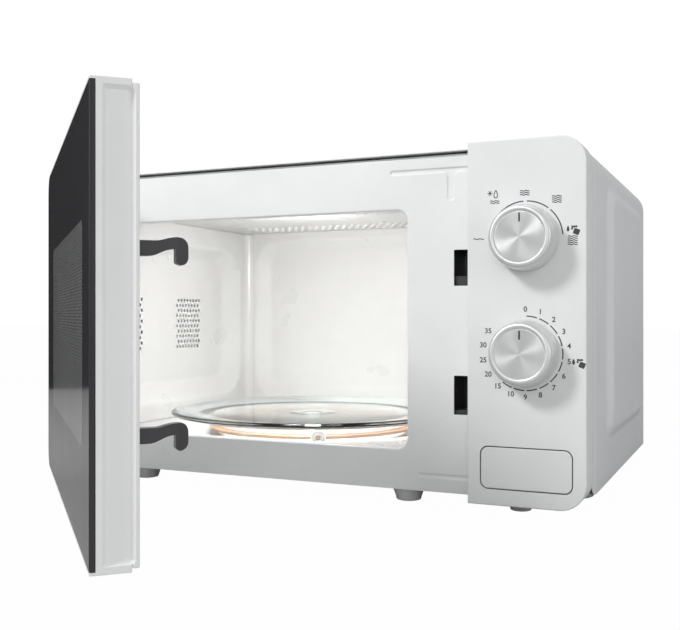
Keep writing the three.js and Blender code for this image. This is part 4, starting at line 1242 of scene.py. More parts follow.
# ---------------------------------------------------------------- cavity
@dataclass
class Cavity:
    """The enamelled walls, floor and ceiling panel of the oven."""

    inset: float = 2.0
    rear_gap: float = 1.5
    bend: float = 8.0
    left_field: Press = Press((9, 268.5, 50, 210.5, 36), (31, 240, 72.5, 196.5, 20), 11.0)
    left_holes: tuple[Point2, ...] = ((54, 103), (154, 103))
    lamp_holes: Point2 = (48, 183)
    hole: float = 1.65
    hole_pitch: Point2 = (5.4, 5.3)
    rear_press: float = 7.0
    rear_heights: Point2 = (42, 222)
    rear_flat_heights: Point2 = (60, 207.5)
    rear_slope: float = 21.0
    rear_corner: float = 30.0
    rear_flat_corner: float = 15.0
    vent: float = 2.75
    vent_pitch: Point2 = (7.6, 7.2)
    ceiling_press: float = 1.9

    def build(self, shop: Workshop) -> None:
        """Draws each wall.

        Args:
            shop: The workshop that makes the pieces.
        """
        self._left(shop)
        self._right(shop)
        self._rear(shop)
        self._floor(shop)
        self._ceiling(shop)

    @staticmethod
    def _wall(shop: Workshop, names: tuple[str, str], us: Sequence[float], vs: Sequence[float],
              at: Callable[[float, float], Point3], facing: Point3, fields: Sequence[Holes] = ()) -> None:
        """Draws one sheet with its pierced fields.

        Args:
            shop: The workshop that makes the pieces.
            names: The piece's name and the node that it replaces.
            us: First coordinates of the grid.
            vs: Second coordinates of the grid.
            at: Where a pair of coordinates lies.
            facing: Which way the sheet's seen face looks.
            fields: The groups of holes in it.
        """
        form = Form()
        form.grid(us, vs, at, lambda u, v: any(f.covers(u, v) for f in fields))
        for f in fields:
            f.draw(form, at)
        shop.piece(form, names[0], "cabinet", "cavity_enamel", [names[1]], sheet=SHEET, facing=facing,
                   sharp=40)

    def _left(self, shop: Workshop) -> None:
        """Draws the left wall, pressed outward and pierced by two groups of holes.

        Args:
            shop: The workshop that makes the pieces.
        """
        lo, hi = shop.datum.span("cavity_left_wall")
        wall = hi.x + self.inset
        bend_at = self._rear_face(shop) - self.bend
        fields = [Holes(*corner, 8, 10, *self.hole_pitch, self.hole) for corner in self.left_holes]
        end = bend_at + self.bend * math.pi / 2
        ys = stations(lo.y, end, 12, [(8, 33, 2.2), (228, 270, 2.2), (bend_at, end, 2.2)]
                      + [f.lines()[0] for f in fields])
        zs = stations(lo.z, hi.z, 12, [(49, 76, 2.2), (188, 212, 2.0), fields[0].lines()[1]])

        def at(y: float, z: float) -> Point3:
            """Places a point of the wall, which bends round into the rear wall."""
            turn = max(0.0, (y - bend_at) / self.bend)
            return (wall - self.left_field.at(y, z) + self.bend * (1 - math.cos(turn)),
                    min(y, bend_at) + self.bend * math.sin(turn), z)

        self._wall(shop, ("left_wall", "cavity_left_wall"), ys, zs, at, (1, 0, 0), fields)

    def _rear_face(self, shop: Workshop) -> float:
        """Tells where the rear wall's border lies."""
        return shop.datum.span("cavity_back_wall")[0].y - self.inset - self.rear_gap

    def _right(self, shop: Workshop) -> None:
        """Draws the right wall with the lamp's holes.

        Args:
            shop: The workshop that makes the pieces.
        """
        lo, hi = shop.datum.span("cavity_right_wall")
        lamp = Holes(*self.lamp_holes, 5, 5, *self.hole_pitch, self.hole)
        ys = stations(lo.y, hi.y, COARSE, [lamp.lines()[0]])
        zs = stations(lo.z, hi.z, COARSE, [lamp.lines()[1]])
        self._wall(shop, ("right_wall", "cavity_right_wall"), ys, zs,
                   lambda y, z: (lo.x, y, z), (-1, 0, 0), [lamp])

    def _rear(self, shop: Workshop) -> None:
        """Draws the rear wall with its pressed field.

        Args:
            shop: The workshop that makes the pieces.
        """
        lo, hi = shop.datum.span("cavity_back_wall")
        face = self._rear_face(shop)
        start = shop.datum.span("cavity_left_wall")[1].x + self.inset + self.bend
        x0, x1 = start + 2.0, hi.x - 12
        outer = (x0, x1, *self.rear_heights, self.rear_corner)
        inner = (x0 + self.rear_slope, x1 - self.rear_slope, *self.rear_flat_heights, self.rear_flat_corner)
        press = Press(outer, inner, self.rear_press)
        xs = stations(start, hi.x, 12, [(x0 - 1, x0 + 38, 2.0), (x1 - 38, x1 + 1, 2.0)])
        zs = stations(lo.z, hi.z, 12, [(41, 76, 2.2), (192, 223, 2.0)])
        self._wall(shop, ("rear_wall", "cavity_back_wall"), xs, zs,
                   lambda x, z: (x, face + press.at(x, z), z), (0, -1, 0))

    def _floor(self, shop: Workshop) -> None:
        """Draws the floor with the round well under the tray.

        Args:
            shop: The workshop that makes the pieces.
        """
        lo, hi = shop.datum.span("cavity_floor")
        tray_lo, tray_hi = shop.datum.span("glass_tray")
        centre = ((tray_lo.x + tray_hi.x) / 2, (tray_lo.y + tray_hi.y) / 2)
        form = Form()
        border = form.ring(across_z(outline(rect(lo.x, hi.x, lo.y, hi.y, 1.0)), hi.z))
        well = [(122.5, hi.z), (121.4, hi.z - 0.35), (118.6, lo.z + 1.5), (117.2, lo.z + 1.0),
                (60, lo.z + 1.0), (58.5, lo.z + 1.25), (56.5, lo.z + 1.25), (55, lo.z + 1.0),
                (12.5, lo.z + 1.0), (10.6, lo.z + 0.6), (9.4, lo.z + 0.2)]
        rings = form.wall(across_z(circle(*centre, r, 96), z) for r, z in well)
        form.cap(border, rings[0])
        shop.piece(form, "oven_floor", "cabinet", "cavity_enamel", ["cavity_floor"], sheet=SHEET,
                   facing=(0, 0, 1), sharp=30)

    def _ceiling(self, shop: Workshop) -> None:
        """Draws the pressed ceiling panel with rows of round holes near its rear.

        Args:
            shop: The workshop that makes the pieces.
        """
        lo, hi = shop.datum.span("ceiling_panel")
        outer = (lo.x + 5, hi.x - 5, lo.y + 5, hi.y - 3, 9)
        inner = (lo.x + 9, hi.x - 9, lo.y + 9, hi.y - 7, 6)
        press = Press(outer, inner, self.ceiling_press)
        vents = Holes(lo.x + 12, hi.y - 52, 26, 6, *self.vent_pitch, self.vent)
        xs = stations(lo.x, hi.x, COARSE, [(lo.x, lo.x + 12, 1.6), (hi.x - 12, hi.x, 1.6), vents.lines()[0]])
        ys = stations(lo.y, hi.y, COARSE, [(lo.y, lo.y + 12, 1.6), (hi.y - 10, hi.y, 1.3), vents.lines()[1]])

        def at(x: float, y: float) -> Point3:
            """Places a point of the panel."""
            return x, y, lo.z + 2.1 - press.at(x, y)

        self._wall(shop, ("ceiling_pan", "ceiling_panel"), xs, ys, at, (0, 0, -1), [vents])


# ---------------------------------------------------------------- turntable
@dataclass
class Turntable:
    """The glass tray on its roller ring."""

    rollers: int = 3
    centre: Point2 = field(init=False)
    radius: float = field(init=False)

    def build(self, shop: Workshop) -> None:
        """Draws the tray, the ring and the rollers.

        Args:
            shop: The workshop that makes the pieces.
        """
        lo, hi = shop.datum.span("glass_tray")
        self.centre = ((lo.x + hi.x) / 2, (lo.y + hi.y) / 2)
        self.radius = (hi.x - lo.x) / 2
        self._tray(shop, lo.z, hi.z)
        self._ring(shop)
        for number in range(1, self.rollers + 1):
            self._roller(shop, number)

    def _tray(self, shop: Workshop, low: float, high: float) -> None:
        """Draws the pressed glass.

        Args:
            shop: The workshop that makes the pieces.
            low: Height of its lowest point.
            high: Height of its rim.
        """
        r, under = self.radius, low + 1.4
        form = Form()
        form.turned([
            (0.01, low + 5.6), (70, low + 5.6), (92, low + 5.6), (95, low + 5.45), (98, low + 5.6),
            (104, low + 5.9), (r - 13, low + 7.2), (r - 6, high - 0.6), (r - 3.6, high - 0.05),
            (r - 1.7, high - 0.1), (r - 0.5, high - 0.9), (r, high - 2.0), (r - 0.5, high - 3.1),
            (r - 2.6, high - 4.0), (r - 8, low + 3.9), (r - 17, low + 2.2), (r - 24, under + 0.1),
            (r - 27, under), (r - 34, under), (r - 36, under + 0.5), (r - 39, under), (24, under),
            (17.5, under), (16.2, low + 0.5), (15.2, low), (9.9, low), (9.4, low + 0.4),
            (9.2, low + 4.7), (8.4, low + 5.0), (0.01, low + 5.0)],
            self.centre, across_z, 128)
        shop.piece(form, "tray_of_glass", "tray", "tray_glass", ["glass_tray"], sharp=40)

    def _ring(self, shop: Workshop) -> None:
        """Draws the moulded ring with an axle at each roller.

        Args:
            shop: The workshop that makes the pieces.
        """
        lo, hi = shop.datum.span("roller_ring")
        mid = (lo.z + hi.z) / 2 - 0.4
        form = Form()
        form.turned([
            (84.5, mid - 1.3), (85, mid - 1.8), (95, mid - 1.8), (95.5, mid - 1.3), (95.5, mid + 0.4),
            (95.0, mid + 0.9), (91.4, mid + 0.9), (91.0, mid + 1.8), (89.0, mid + 1.8),
            (88.6, mid + 0.9), (85.0, mid + 0.9), (84.5, mid + 0.4), (84.5, mid - 1.3)],
            self.centre, across_z, 96)
        for number in range(1, self.rollers + 1):
            centre, axis = self._axle(shop, number)
            form.tube([centre - axis * 9, centre + axis * 2.4], 1.55, 14)
        shop.piece(form, "ring_frame", "roller_ring", "ring_moulding", ["roller_ring"], edge=0.25)

    @staticmethod
    def _axle(shop: Workshop, number: int) -> tuple[Vector, Vector]:
        """Gives a roller's middle and the outward direction of its axle.

        Args:
            shop: The workshop.
            number: The roller's number.

        Returns:
            The roller's middle and the axle's direction.
        """
        joint = next(j for j in frame["joints"] if j["name"] == f"roller_{number}_spin")
        lo, hi = shop.datum.span(f"roller_{number}")
        return (lo + hi) / 2, Vector(joint["axis"])

    def _roller(self, shop: Workshop, number: int) -> None:
        """Draws one roller with a dished face.

        Args:
            shop: The workshop that makes the pieces.
            number: The roller's number.
        """
        centre, axis = self._axle(shop, number)
        one = Vector((0, 0, 1))
        two = axis.cross(one)

        def turn(points: Iterable[Point2], reach: float) -> list[Point3]:
            """Stands a circle round the axle."""
            return [tuple(centre + axis * reach + one * b + two * a) for a, b in points]

        form = Form()
        form.turned([
            (2.1, -2.7), (3.2, -2.9), (3.6, -1.9), (5.0, -1.9), (5.4, -3.0), (6.1, -3.0),
            (6.45, -2.2), (6.5, 0), (6.45, 2.2), (6.1, 3.0), (5.4, 3.0), (5.0, 1.9), (3.6, 1.9),
            (3.2, 2.9), (2.1, 2.7), (2.1, -2.7)], (0, 0), turn, 40)
        shop.piece(form, f"roller_wheel_{number}", f"roller_{number}", "white_nylon", [f"roller_{number}"])


# ---------------------------------------------------------------- control panel
@dataclass
class ControlPanel:
    """The moulded panel with its printed scales, two knobs and release button."""

    corner: float = 18.0
    edge: float = 1.1
    gap: float = 0.75
    lines: float = 0.8
    scale_radius: float = 24.9
    number_radius: float = 29.4
    number_size: float = 4.9
    power_arcs: tuple[Point2, ...] = ((-42, -3), (2.5, 38), (42, 86))
    power_levels: tuple[Point3, ...] = (
        (-32.1, 0.5, 7.4), (-20.9, 25.2, 6.4), (-0.4, 30.4, 6.4), (20.9, 25.2, 6.4), (31.2, -2.3, 6.4))
    front: float = field(init=False)

    def build(self, shop: Workshop) -> None:
        """Draws the panel, the button and both knobs.

        Args:
            shop: The workshop that makes the pieces.
        """
        lo, hi = shop.datum.span("control_panel")
        self.front = lo.y
        button_lo, button_hi = shop.datum.span("release_button")
        button = rect(button_lo.x, button_hi.x, button_lo.z, button_hi.z, 5.0)
        self._shell(shop, lo, hi, button)
        backing = Form()
        backing.slab(rect(216, hi.x - 0.8, lo.z + 6.6, hi.z - 22, (0.3, 14, 0.3, 0.3)), 0.3, 1.1, edge=0.2)
        shop.piece(backing, "panel_backing", "cabinet", "front_paint")
        self._button(shop, button, button_hi.y)
        self._prints(shop)
        for name, body in (("power_knob", "power_control"), ("timer_knob", "timer_control")):
            self._knob(shop, name, body)

    def _shell(self, shop: Workshop, lo: Vector, hi: Vector, button: list[Corner]) -> None:
        """Draws the panel's skin with the button's opening.

        Args:
            shop: The workshop that makes the pieces.
            lo: The panel's lowest corner.
            hi: The panel's highest corner.
            button: Corners of the button's outline.
        """
        shape = rect(lo.x, hi.x, lo.z, hi.z, (0.8, self.corner, self.corner, 0.8))
        form = Form()
        skin = [across_y(outline(shape, 0, 12), y) for y in (hi.y, lo.y + self.edge)]
        for a in (0.5, 1.05, math.pi / 2):
            inset = self.edge * (1 - math.cos(a))
            skin.append(across_y(outline(shape, inset, 12), lo.y + self.edge * (1 - math.sin(a))))
        rings = form.wall(skin)
        mouth = form.wall(across_y(outline(button, i - self.gap, 8), lo.y + d)
                          for i, d in ((-0.25, 0.0), (-0.07, 0.07), (0.0, 0.25), (0.0, 4.0)))
        form.cap(rings[-1], mouth[0])
        shop.piece(form, "panel_shell", "cabinet", "panel_plastic", ["control_panel"], sheet=1.8,
                   facing=(0, -1, 0), sharp=30)

    def _button(self, shop: Workshop, shape: list[Corner], stem_end: float) -> None:
        """Draws the door release button with its stem.

        Args:
            shop: The workshop that makes the pieces.
            shape: Corners of the button's outline.
            stem_end: How far to the rear the stem reaches.
        """
        form = Form()
        rings = [(0.9, 3.0), (0.0, 3.0), (0.0, 0.5), (0.15, 0.15), (0.5, 0.0)]
        form.stack([across_y(outline(shape, i, 8), self.front + d) for i, d in rings])
        shop.piece(form, "button_cap", "release_button", "button_plastic", ["release_button"], sharp=30)
        x = (shape[0][0] + shape[1][0]) / 2
        z = (shape[0][1] + shape[2][1]) / 2
        stem = Form()
        stem.slab(rect(x - 9, x + 1, z - 5, z + 5, 1.0), self.front + 2.9, stem_end, edge=0.5)
        shop.piece(stem, "button_stem", "release_button", "button_plastic")

    def _knob(self, shop: Workshop, name: str, body: str) -> None:
        """Draws one spun knob with its pointer.

        Args:
            shop: The workshop that makes the pieces.
            name: The knob's node.
            body: The body that it rides on.
        """
        lo, hi = shop.datum.span(name)
        x, z = (lo.x + hi.x) / 2, (lo.z + hi.z) / 2
        y = lo.y
        shop.piece(self._disc(x, z, y), f"{name}_face", body, "knob_aluminium", sharp=40)
        skirt = Form()
        skirt.turned([
            (15.2, y + 1.2), (16.6, y + 0.75), (16.9, y + 0.35), (17.6, y + 0.06), (18.6, y),
            (19.6, y + 0.25), (20.4, y + 0.9), (20.95, y + 1.9), (21.25, y + 3.4), (21.6, y + 7.0),
            (22.0, y + 12.0), (22.25, y + 15.6), (22.3, y + 16.8), (22.2, y + 17.6),
            (21.6, y + 18.0), (3.4, y + 18.0), (3.4, y + 8.8), (0.01, y + 8.8)],
            (x, z), across_y, 96)
        shop.piece(skirt, f"{name}_skirt", body, "knob_aluminium", [name], sharp=40)
        mark = Form()
        mark.slab(rect(x - 0.55, x + 0.55, z + 9.6, z + 15.4, 0.2), y + 0.5, y + 1.1, edge=0.1, steps=2)
        shop.piece(mark, f"{name}_pointer", body, "black_moulding")

    @staticmethod
    def _disc(x: float, z: float, y: float) -> Form:
        """Draws a knob's face disc.

        Args:
            x: Where the knob's axis stands.
            z: The axis's height.
            y: The knob's foremost point.

        Returns:
            The disc.
        """
        form = Form()
        form.turned([(0.01, y + 0.72), (6, y + 0.7), (12, y + 0.66), (16.2, y + 0.6), (16.55, y + 0.75),
                     (16.55, y + 2.0), (0.01, y + 2.0)], (x, z), across_y, 96)
        return form

    # ------------------------------------------------------------ printed marks
    def _prints(self, shop: Workshop) -> None:
        """Prints the scales round both knobs.

        Args:
            shop: The workshop that makes the pieces.
        """
        ink = Form()
        power_lo, power_hi = shop.datum.span("power_knob")
        timer_lo, timer_hi = shop.datum.span("timer_knob")
        px, pz = (power_lo.x + power_hi.x) / 2, (power_lo.z + power_hi.z) / 2
        tx, tz = (timer_lo.x + timer_hi.x) / 2, (timer_lo.z + timer_hi.z) / 2
        for start, end in self.power_arcs:
            self._arc(ink, px, pz, start, end)
        marks = [(str(n), n * 20) for n in range(10)]
        marks += [(str(n), 200 + (n - 10) * 4) for n in range(10, 40, 5)]
        for label, angle in marks:
            a = math.radians(angle)
            self._text(ink, label, tx + self.number_radius * math.sin(a),
                       tz + self.number_radius * math.cos(a))
        for i in range(11):
            self._arc(ink, tx, tz, 20 * i + 1.8, 20 * i + 18.2)
        for count, (x, z, width) in enumerate(self.power_levels, 1):
            self._waves(ink, px + x, pz + z, count, width)
        self._star(ink, px - 24.2, pz + 31.2)
        self._drop(ink, px - 20.2, pz + 30.4, 2.5, hollow=True)
        for x, z in ((px + 28.2, pz + 5.4), (tx + 31.8, tz - 5.0)):
            self._drop(ink, x, z, 1.9, hollow=False)
            self._bread(ink, x + 4.6, z - 0.6)
        shop.piece(ink, "panel_marks", "cabinet", "black_moulding", ink=True, facing=(0, -1, 0))

    def _flat(self, ink: Form, points: Iterable[Point2]) -> list[int]:
        """Lays points on the panel's face."""
        return ink.ring(across_y(points, self.front - 0.04))

    def _arc(self, ink: Form, x: float, z: float, start: float, end: float) -> None:
        """Prints one arc of a scale, between two clockwise angles.

        Args:
            ink: The form that holds all printed marks.
            x: Where the knob's axis stands.
            z: The axis's height.
            start: First angle in degrees.
            end: Last angle in degrees.
        """
        steps = 8
        angles = [math.radians(start + (end - start) * i / steps) for i in range(steps + 1)]
        inner, outer = self.scale_radius - self.lines / 2, self.scale_radius + self.lines / 2
        a, b = ([(x + r * math.sin(t), z + r * math.cos(t)) for t in angles] for r in (inner, outer))
        ink.band(self._flat(ink, a), self._flat(ink, b), closed=False)

    def _stroke(self, ink: Form, path: Sequence[Point2], width: float) -> None:
        """Prints a line of even width along a path.

        Args:
            ink: The form that holds all printed marks.
            path: Points along its middle.
            width: How wide it is.
        """
        line = [Vector(p) for p in path]
        a, b = [], []
        for i, p in enumerate(line):
            way = (line[min(i + 1, len(line) - 1)] - line[max(i - 1, 0)]).normalized()
            side = Vector((-way.y, way.x)) * width / 2
            a.append(tuple(p + side))
            b.append(tuple(p - side))
        ink.band(self._flat(ink, a), self._flat(ink, b), closed=False)

    def _waves(self, ink: Form, x: float, z: float, count: int, width: float) -> None:
        """Prints stacked wavy lines.

        Args:
            ink: The form that holds all printed marks.
            x: Where it stands across the panel.
            z: Its height.
            count: How many lines there are.
            width: How long each line is.
        """
        for row in range(count):
            level = z + (row - (count - 1) / 2) * 1.35
            path = [(x + width * (i / 24 - 0.5), level + 0.26 * math.sin(math.tau * i / 12))
                    for i in range(25)]
            self._stroke(ink, path, 0.62)

    def _star(self, ink: Form, x: float, z: float) -> None:
        """Prints a six-armed ice crystal."""
        for k in range(3):
            dx, dz = 1.8 * math.cos(math.pi * k / 3), 1.8 * math.sin(math.pi * k / 3)
            self._stroke(ink, [(x - dx, z - dz), (x + dx, z + dz)], 0.5)

    def _drop(self, ink: Form, x: float, z: float, size: float, hollow: bool) -> None:
        """Prints a water drop, as an outline or filled.

        Args:
            ink: The form that holds all printed marks.
            x: Where it stands across the panel.
            z: Its height.
            size: Half its height.
            hollow: Whether only its outline is printed.
        """
        path = []
        for i in range(25):
            t = math.tau * i / 24
            taper = 1 - 0.55 * (1 + math.cos(t)) / 2
            path.append((x + size * 0.62 * math.sin(t) * taper, z + size * math.cos(t)))
        if hollow:
            self._stroke(ink, path, 0.62)
        else:
            ink.cap(self._flat(ink, path[:-1]))

    def _bread(self, ink: Form, x: float, z: float) -> None:
        """Prints a tilted slice with crumbs beside it.

        Args:
            ink: The form that holds all printed marks.
            x: Where it stands across the panel.
            z: Its height.
        """
        tilt = math.radians(-22)
        cos, sin = math.cos(tilt), math.sin(tilt)

        def turned(points: Iterable[Point2]) -> list[Point2]:
            """Tilts points round the middle of the mark."""
            return [(x + a * cos - b * sin, z + a * sin + b * cos) for a, b in points]

        ink.cap(self._flat(ink, turned(outline(rect(-0.6, 3.4, -3.0, 0.8, 0.6), 0, 3))))
        for a, b in ((-2.4, 1.0), (-1.2, 1.4), (0.0, 2.0), (-2.0, -0.3)):
            ink.cap(self._flat(ink, turned(circle(a, b, 0.75, 8))))

    def _text(self, ink: Form, label: str, x: float, z: float) -> None:
        """Prints a number, centred on a point.

        Args:
            ink: The form that holds all printed marks.
            label: The number.
            x: Where it stands across the panel.
            z: Its height.
        """
        curve = bpy.data.curves.new("number", "FONT")
        curve.body, curve.size, curve.offset = label, self.number_size, 0.1
        curve.align_x, curve.align_y = "CENTER", "CENTER"
        holder = bpy.data.objects.new("number", curve)
        bpy.context.scene.collection.objects.link(holder)
        bpy.context.view_layer.update()
        shape = holder.evaluated_get(bpy.context.evaluated_depsgraph_get()).to_mesh()
        first = self._flat(ink, [(x + v.co.x, z + v.co.y) for v in shape.vertices])
        ink.faces.extend(tuple(first[n] for n in poly.vertices) for poly in shape.polygons)
        bpy.data.objects.remove(holder)


# ---------------------------------------------------------------- door
@dataclass
class Door:
    """The door: dark pane, moulded frame, screened view opening, rear cover and latch hooks."""

    left: float = -226.0
    right: float = 143.7
    bottom: float = 9.0
    top: float = 257.0
    front: float = -26.0
    rear: float = -1.0
    corner: float = 18.0
    rim: float = 2.0
    pane: float = 3.0
    wall: float = 2.5
    cover: float = 3.7
    recess: float = 1.5
    round_rear: float = 9.9
    view: tuple[float, float, float, float] = (-190.0, 79.7, 62.0, 200.0)
    window: tuple[float, float, float, float] = (-150.0, 107.0, 68.0, 189.0)
    bracket_heights: tuple[float, float] = (20.0, 246.0)
    hook_bottoms: tuple[float, float] = (67.5, 164.0)
    hook_width: float = 6.5
    hook_height: float = 14.6
    hook_arm: float = 8.0
    hook_reach: float = 27.0
    nose: float = 7.5
    hook_x: float = 132.5
    pin: Point2 = field(init=False)

    def build(self, shop: Workshop) -> None:
        """Draws every piece of the door.

        Args:
            shop: The workshop that makes the pieces.
        """
        pin = (shop.datum.pivot - shop.datum.origin) / MM
        self.pin = (pin.x, pin.y)
        self._pane(shop)
        self._frame(shop)
        self._cover(shop)
        self._screen(shop)
        self._hooks(shop)

    def _pane(self, shop: Workshop) -> None:
        """Draws the dark pane and the dotted window printed on it.

        Args:
            shop: The workshop that makes the pieces.
        """
        r = self.corner - self.rim
        form = Form()
        form.slab(rect(self.left + self.rim, self.right, self.bottom + self.rim, self.top - self.rim,
                       (r, 0.4, 0.4, r)), self.front, self.front + self.pane, edge=0.4, steps=10)
        shop.piece(form, "door_pane", "door", "door_glass", ["door_panel"], door=True)
        dots = Form()
        dots.cap(dots.ring(across_y(outline(rect(*self.window, 5.0)), self.front - 0.03)))
        made = shop.piece(dots, "pane_dots", "door", "door_glass", door=True, mapped=True, facing=(0, -1, 0))
        made.data.materials[0] = shop.window

    def _sweeps(self) -> list[Form]:
        """Gives the room that the hinge brackets need, and the rounded rear corner.

        Returns:
            Forms to cut away from the frame and the cover.
        """
        tools = []
        for z in self.bracket_heights:
            disc = Form()
            disc.turned([(0.01, z - 1.5), (13, z - 1.5), (13, z + 1.5), (0.01, z + 1.5)],
                        self.pin, across_z, 40)
            tools.append(disc)
        r, x, y = self.round_rear, self.left, self.rear
        bow = [(x + r - r * math.sin(a), y - r + r * math.cos(a))
               for a in (math.radians(v) for v in range(0, 91, 9))]
        plan = [(x + r, y + 1.5), (x - 1.5, y + 1.5), (x - 1.5, y - r)] + bow[::-1]
        corner = Form()
        corner.stack([across_z(plan, z) for z in (self.bottom - 1, self.top + 1)])
        return tools + [corner]

    def _channel(self) -> Form:
        """Gives the channel with sloped walls along the free edge.

        Returns:
            A form to cut away from the frame and the cover.
        """
        shape = rect(self.front + 6.5, self.rear - 2.0, self.bottom + 4.0, self.top - 3.6,
                     (0.6, 2.5, 4.5, 0.6))
        form = Form()
        form.stack([across_x(outline(shape, i, 8), self.right + x) for i, x in (
            (-0.3, 1.0), (0.0, 0.0), (1.9, -2.4), (2.1, -2.5))])
        return form

    def _frame(self, shop: Workshop) -> None:
        """Draws the moulded frame with the channel along its free edge.

        Args:
            shop: The workshop that makes the pieces.
        """
        rear = self.rear - self.cover - 0.02
        step = self.front + self.pane + 2.3
        body = Form()
        body.slab(rect(self.left, self.right, self.bottom, self.top, (self.corner, 0.5, 0.5, self.corner)),
                  self.front + 0.15, rear, edge=0.5, steps=10)
        room, hollow, opening = Form(), Form(), Form()
        r = self.corner - self.rim
        room.slab(rect(self.left + self.rim - 0.3, self.right + 5, self.bottom + self.rim - 0.3,
                       self.top - self.rim + 0.3, (r, 0.3, 0.3, r)),
                  self.front - 2, self.front + self.pane + 0.3, edge=0.05, steps=10)
        wall = self.wall + self.recess + 1.0
        hollow.slab(rect(self.left + self.wall, self.right - wall, self.bottom + self.wall,
                         self.top - self.wall, (r, 1, 1, r)), step, 5, edge=0.05, steps=10)
        opening.slab(rect(*self.view, 8), self.front, 5, edge=0.05)
        shop.piece(body, "door_shell", "door", "door_plastic", ["door_frame"], door=True,
                   cutters=[room, hollow, opening, self._channel(), *self._sweeps()])

    def _cover(self, shop: Workshop) -> None:
        """Draws the rear cover with its view opening and hook slots.

        Args:
            shop: The workshop that makes the pieces.
        """
        r = self.corner - self.rim
        body = Form()
        body.slab(rect(self.left, self.right, self.bottom + self.rim, self.top - self.rim, (r, 0.6, 0.6, r)),
                  self.rear - self.cover, self.rear, edge=0.9, steps=10)
        opening = Form()
        flare = ((3.0, self.rear - self.cover - 1), (3.0, self.rear - 2.2), (0.0, self.rear - 0.4),
                 (-1.2, self.rear + 1))
        opening.stack(across_y(outline(rect(*self.view, 8), i, 8), y) for i, y in flare)
        slots = []
        for bottom in self.hook_bottoms:
            slot = Form()
            half = self.hook_width / 2 + 0.8
            slot.slab(rect(self.hook_x - half, self.hook_x + half, bottom + 2,
                           bottom + self.hook_height + 5, 1.2),
                      self.rear - 9, self.rear + 3, edge=0.05, steps=3)
            slots.append(slot)
        shop.piece(body, "door_back", "door", "door_plastic", ["door_inner_cover"], door=True,
                   cutters=[opening, *slots, self._channel(), *self._sweeps()])

    def _screen(self, shop: Workshop) -> None:
        """Draws the pierced screen that fills the view opening.

        Args:
            shop: The workshop that makes the pieces.
        """
        x0, x1, z0, z1 = self.view
        y = self.front + self.pane + 2.6
        form = Form()
        form.slab(rect(x0 - 12, x1 + 12, z0 - 12, z1 + 12, 8), y, y + 0.9, edge=0.15)
        shop.piece(form, "pierced_screen", "door", "screen_steel", ["door_screen"], door=True, mapped=True)

    def _profile(self, bottom: float) -> list[Point2]:
        """Draws one hook's side outline of Y and Z.

        Args:
            bottom: Height of the hook's lowest point.

        Returns:
            The outline.
        """
        y0 = self.front + self.pane + 6.3
        tip = self.rear + self.hook_reach
        top = bottom + self.hook_height

        def bend(p: Point2, *ends: Point2) -> list[Point2]:
            """Gives points of a curve of two or three handles, without its start.

            Args:
                p: Where the curve starts.
                ends: Its handles and its end.

            Returns:
                The points.
            """
            pts = []
            for i in range(1, 11):
                chain = [Vector(q) for q in (p, *ends)]
                while len(chain) > 1:
                    chain = [a.lerp(b, i / 10) for a, b in zip(chain, chain[1:])]
                pts.append(tuple(chain[0]))
            return pts

        under = top - self.hook_arm - 2
        pts: list[Point2] = [(y0, under), (self.rear + 5, under)]
        pts += bend(pts[-1], (self.rear + 11, under), (self.rear + 12, top - 6.6), (tip - self.nose, top - 6))
        pts += [(tip - self.nose, bottom + 1.6)]
        pts += bend(pts[-1], (tip - self.nose + 1, bottom + 0.2), (tip - self.nose + 3, bottom))
        pts += bend(pts[-1], (tip, bottom + 0.4), (tip, bottom + 5))
        pts += [(tip, top - 5)]
        pts += bend(pts[-1], (tip - 0.6, top), (tip - 6, top))
        pts += bend(pts[-1], (tip - 12, top), (tip - 14, top - 2), (self.rear + 9, top - 2))
        pts += [(y0, top - 2)]
        return pts

    def _hooks(self, shop: Workshop) -> None:
        """Draws both hooks on the bar that joins them.

        Args:
            shop: The workshop that makes the pieces.
        """
        half = self.hook_width / 2
        y0, y1 = self.front + self.pane + 4.3, self.rear - self.cover - 2.3
        bar = Form()
        bar.slab(rect(self.hook_x - half, self.hook_x + half, self.hook_bottoms[0] - 4,
                      self.hook_bottoms[1] + self.hook_height + 3.4, 1.0), y0, y1, edge=0.6)
        shop.piece(bar, "hook_bar", "latch", "latch_plastic", ["latch_hooks"], door=True)
        for name, bottom in zip(("hook_lower", "hook_upper"), self.hook_bottoms):
            form = Form()
            profile = self._profile(bottom)
            form.stack([across_x(profile, self.hook_x + s * half) for s in (-1, 1)])
            tip, side = self.rear + self.hook_reach, self.hook_x + half
            slant = Form()
            plan = [(side, tip - 6.5), (side + 4, tip - 6.5), (side + 4, tip + 3), (side - 7.0, tip + 3)]
            slant.stack(across_z(plan, z) for z in (bottom - 2, bottom + self.hook_height + 2))
            shop.piece(form, name, "latch", "latch_plastic", door=True, edge=0.35, cutters=[slant])


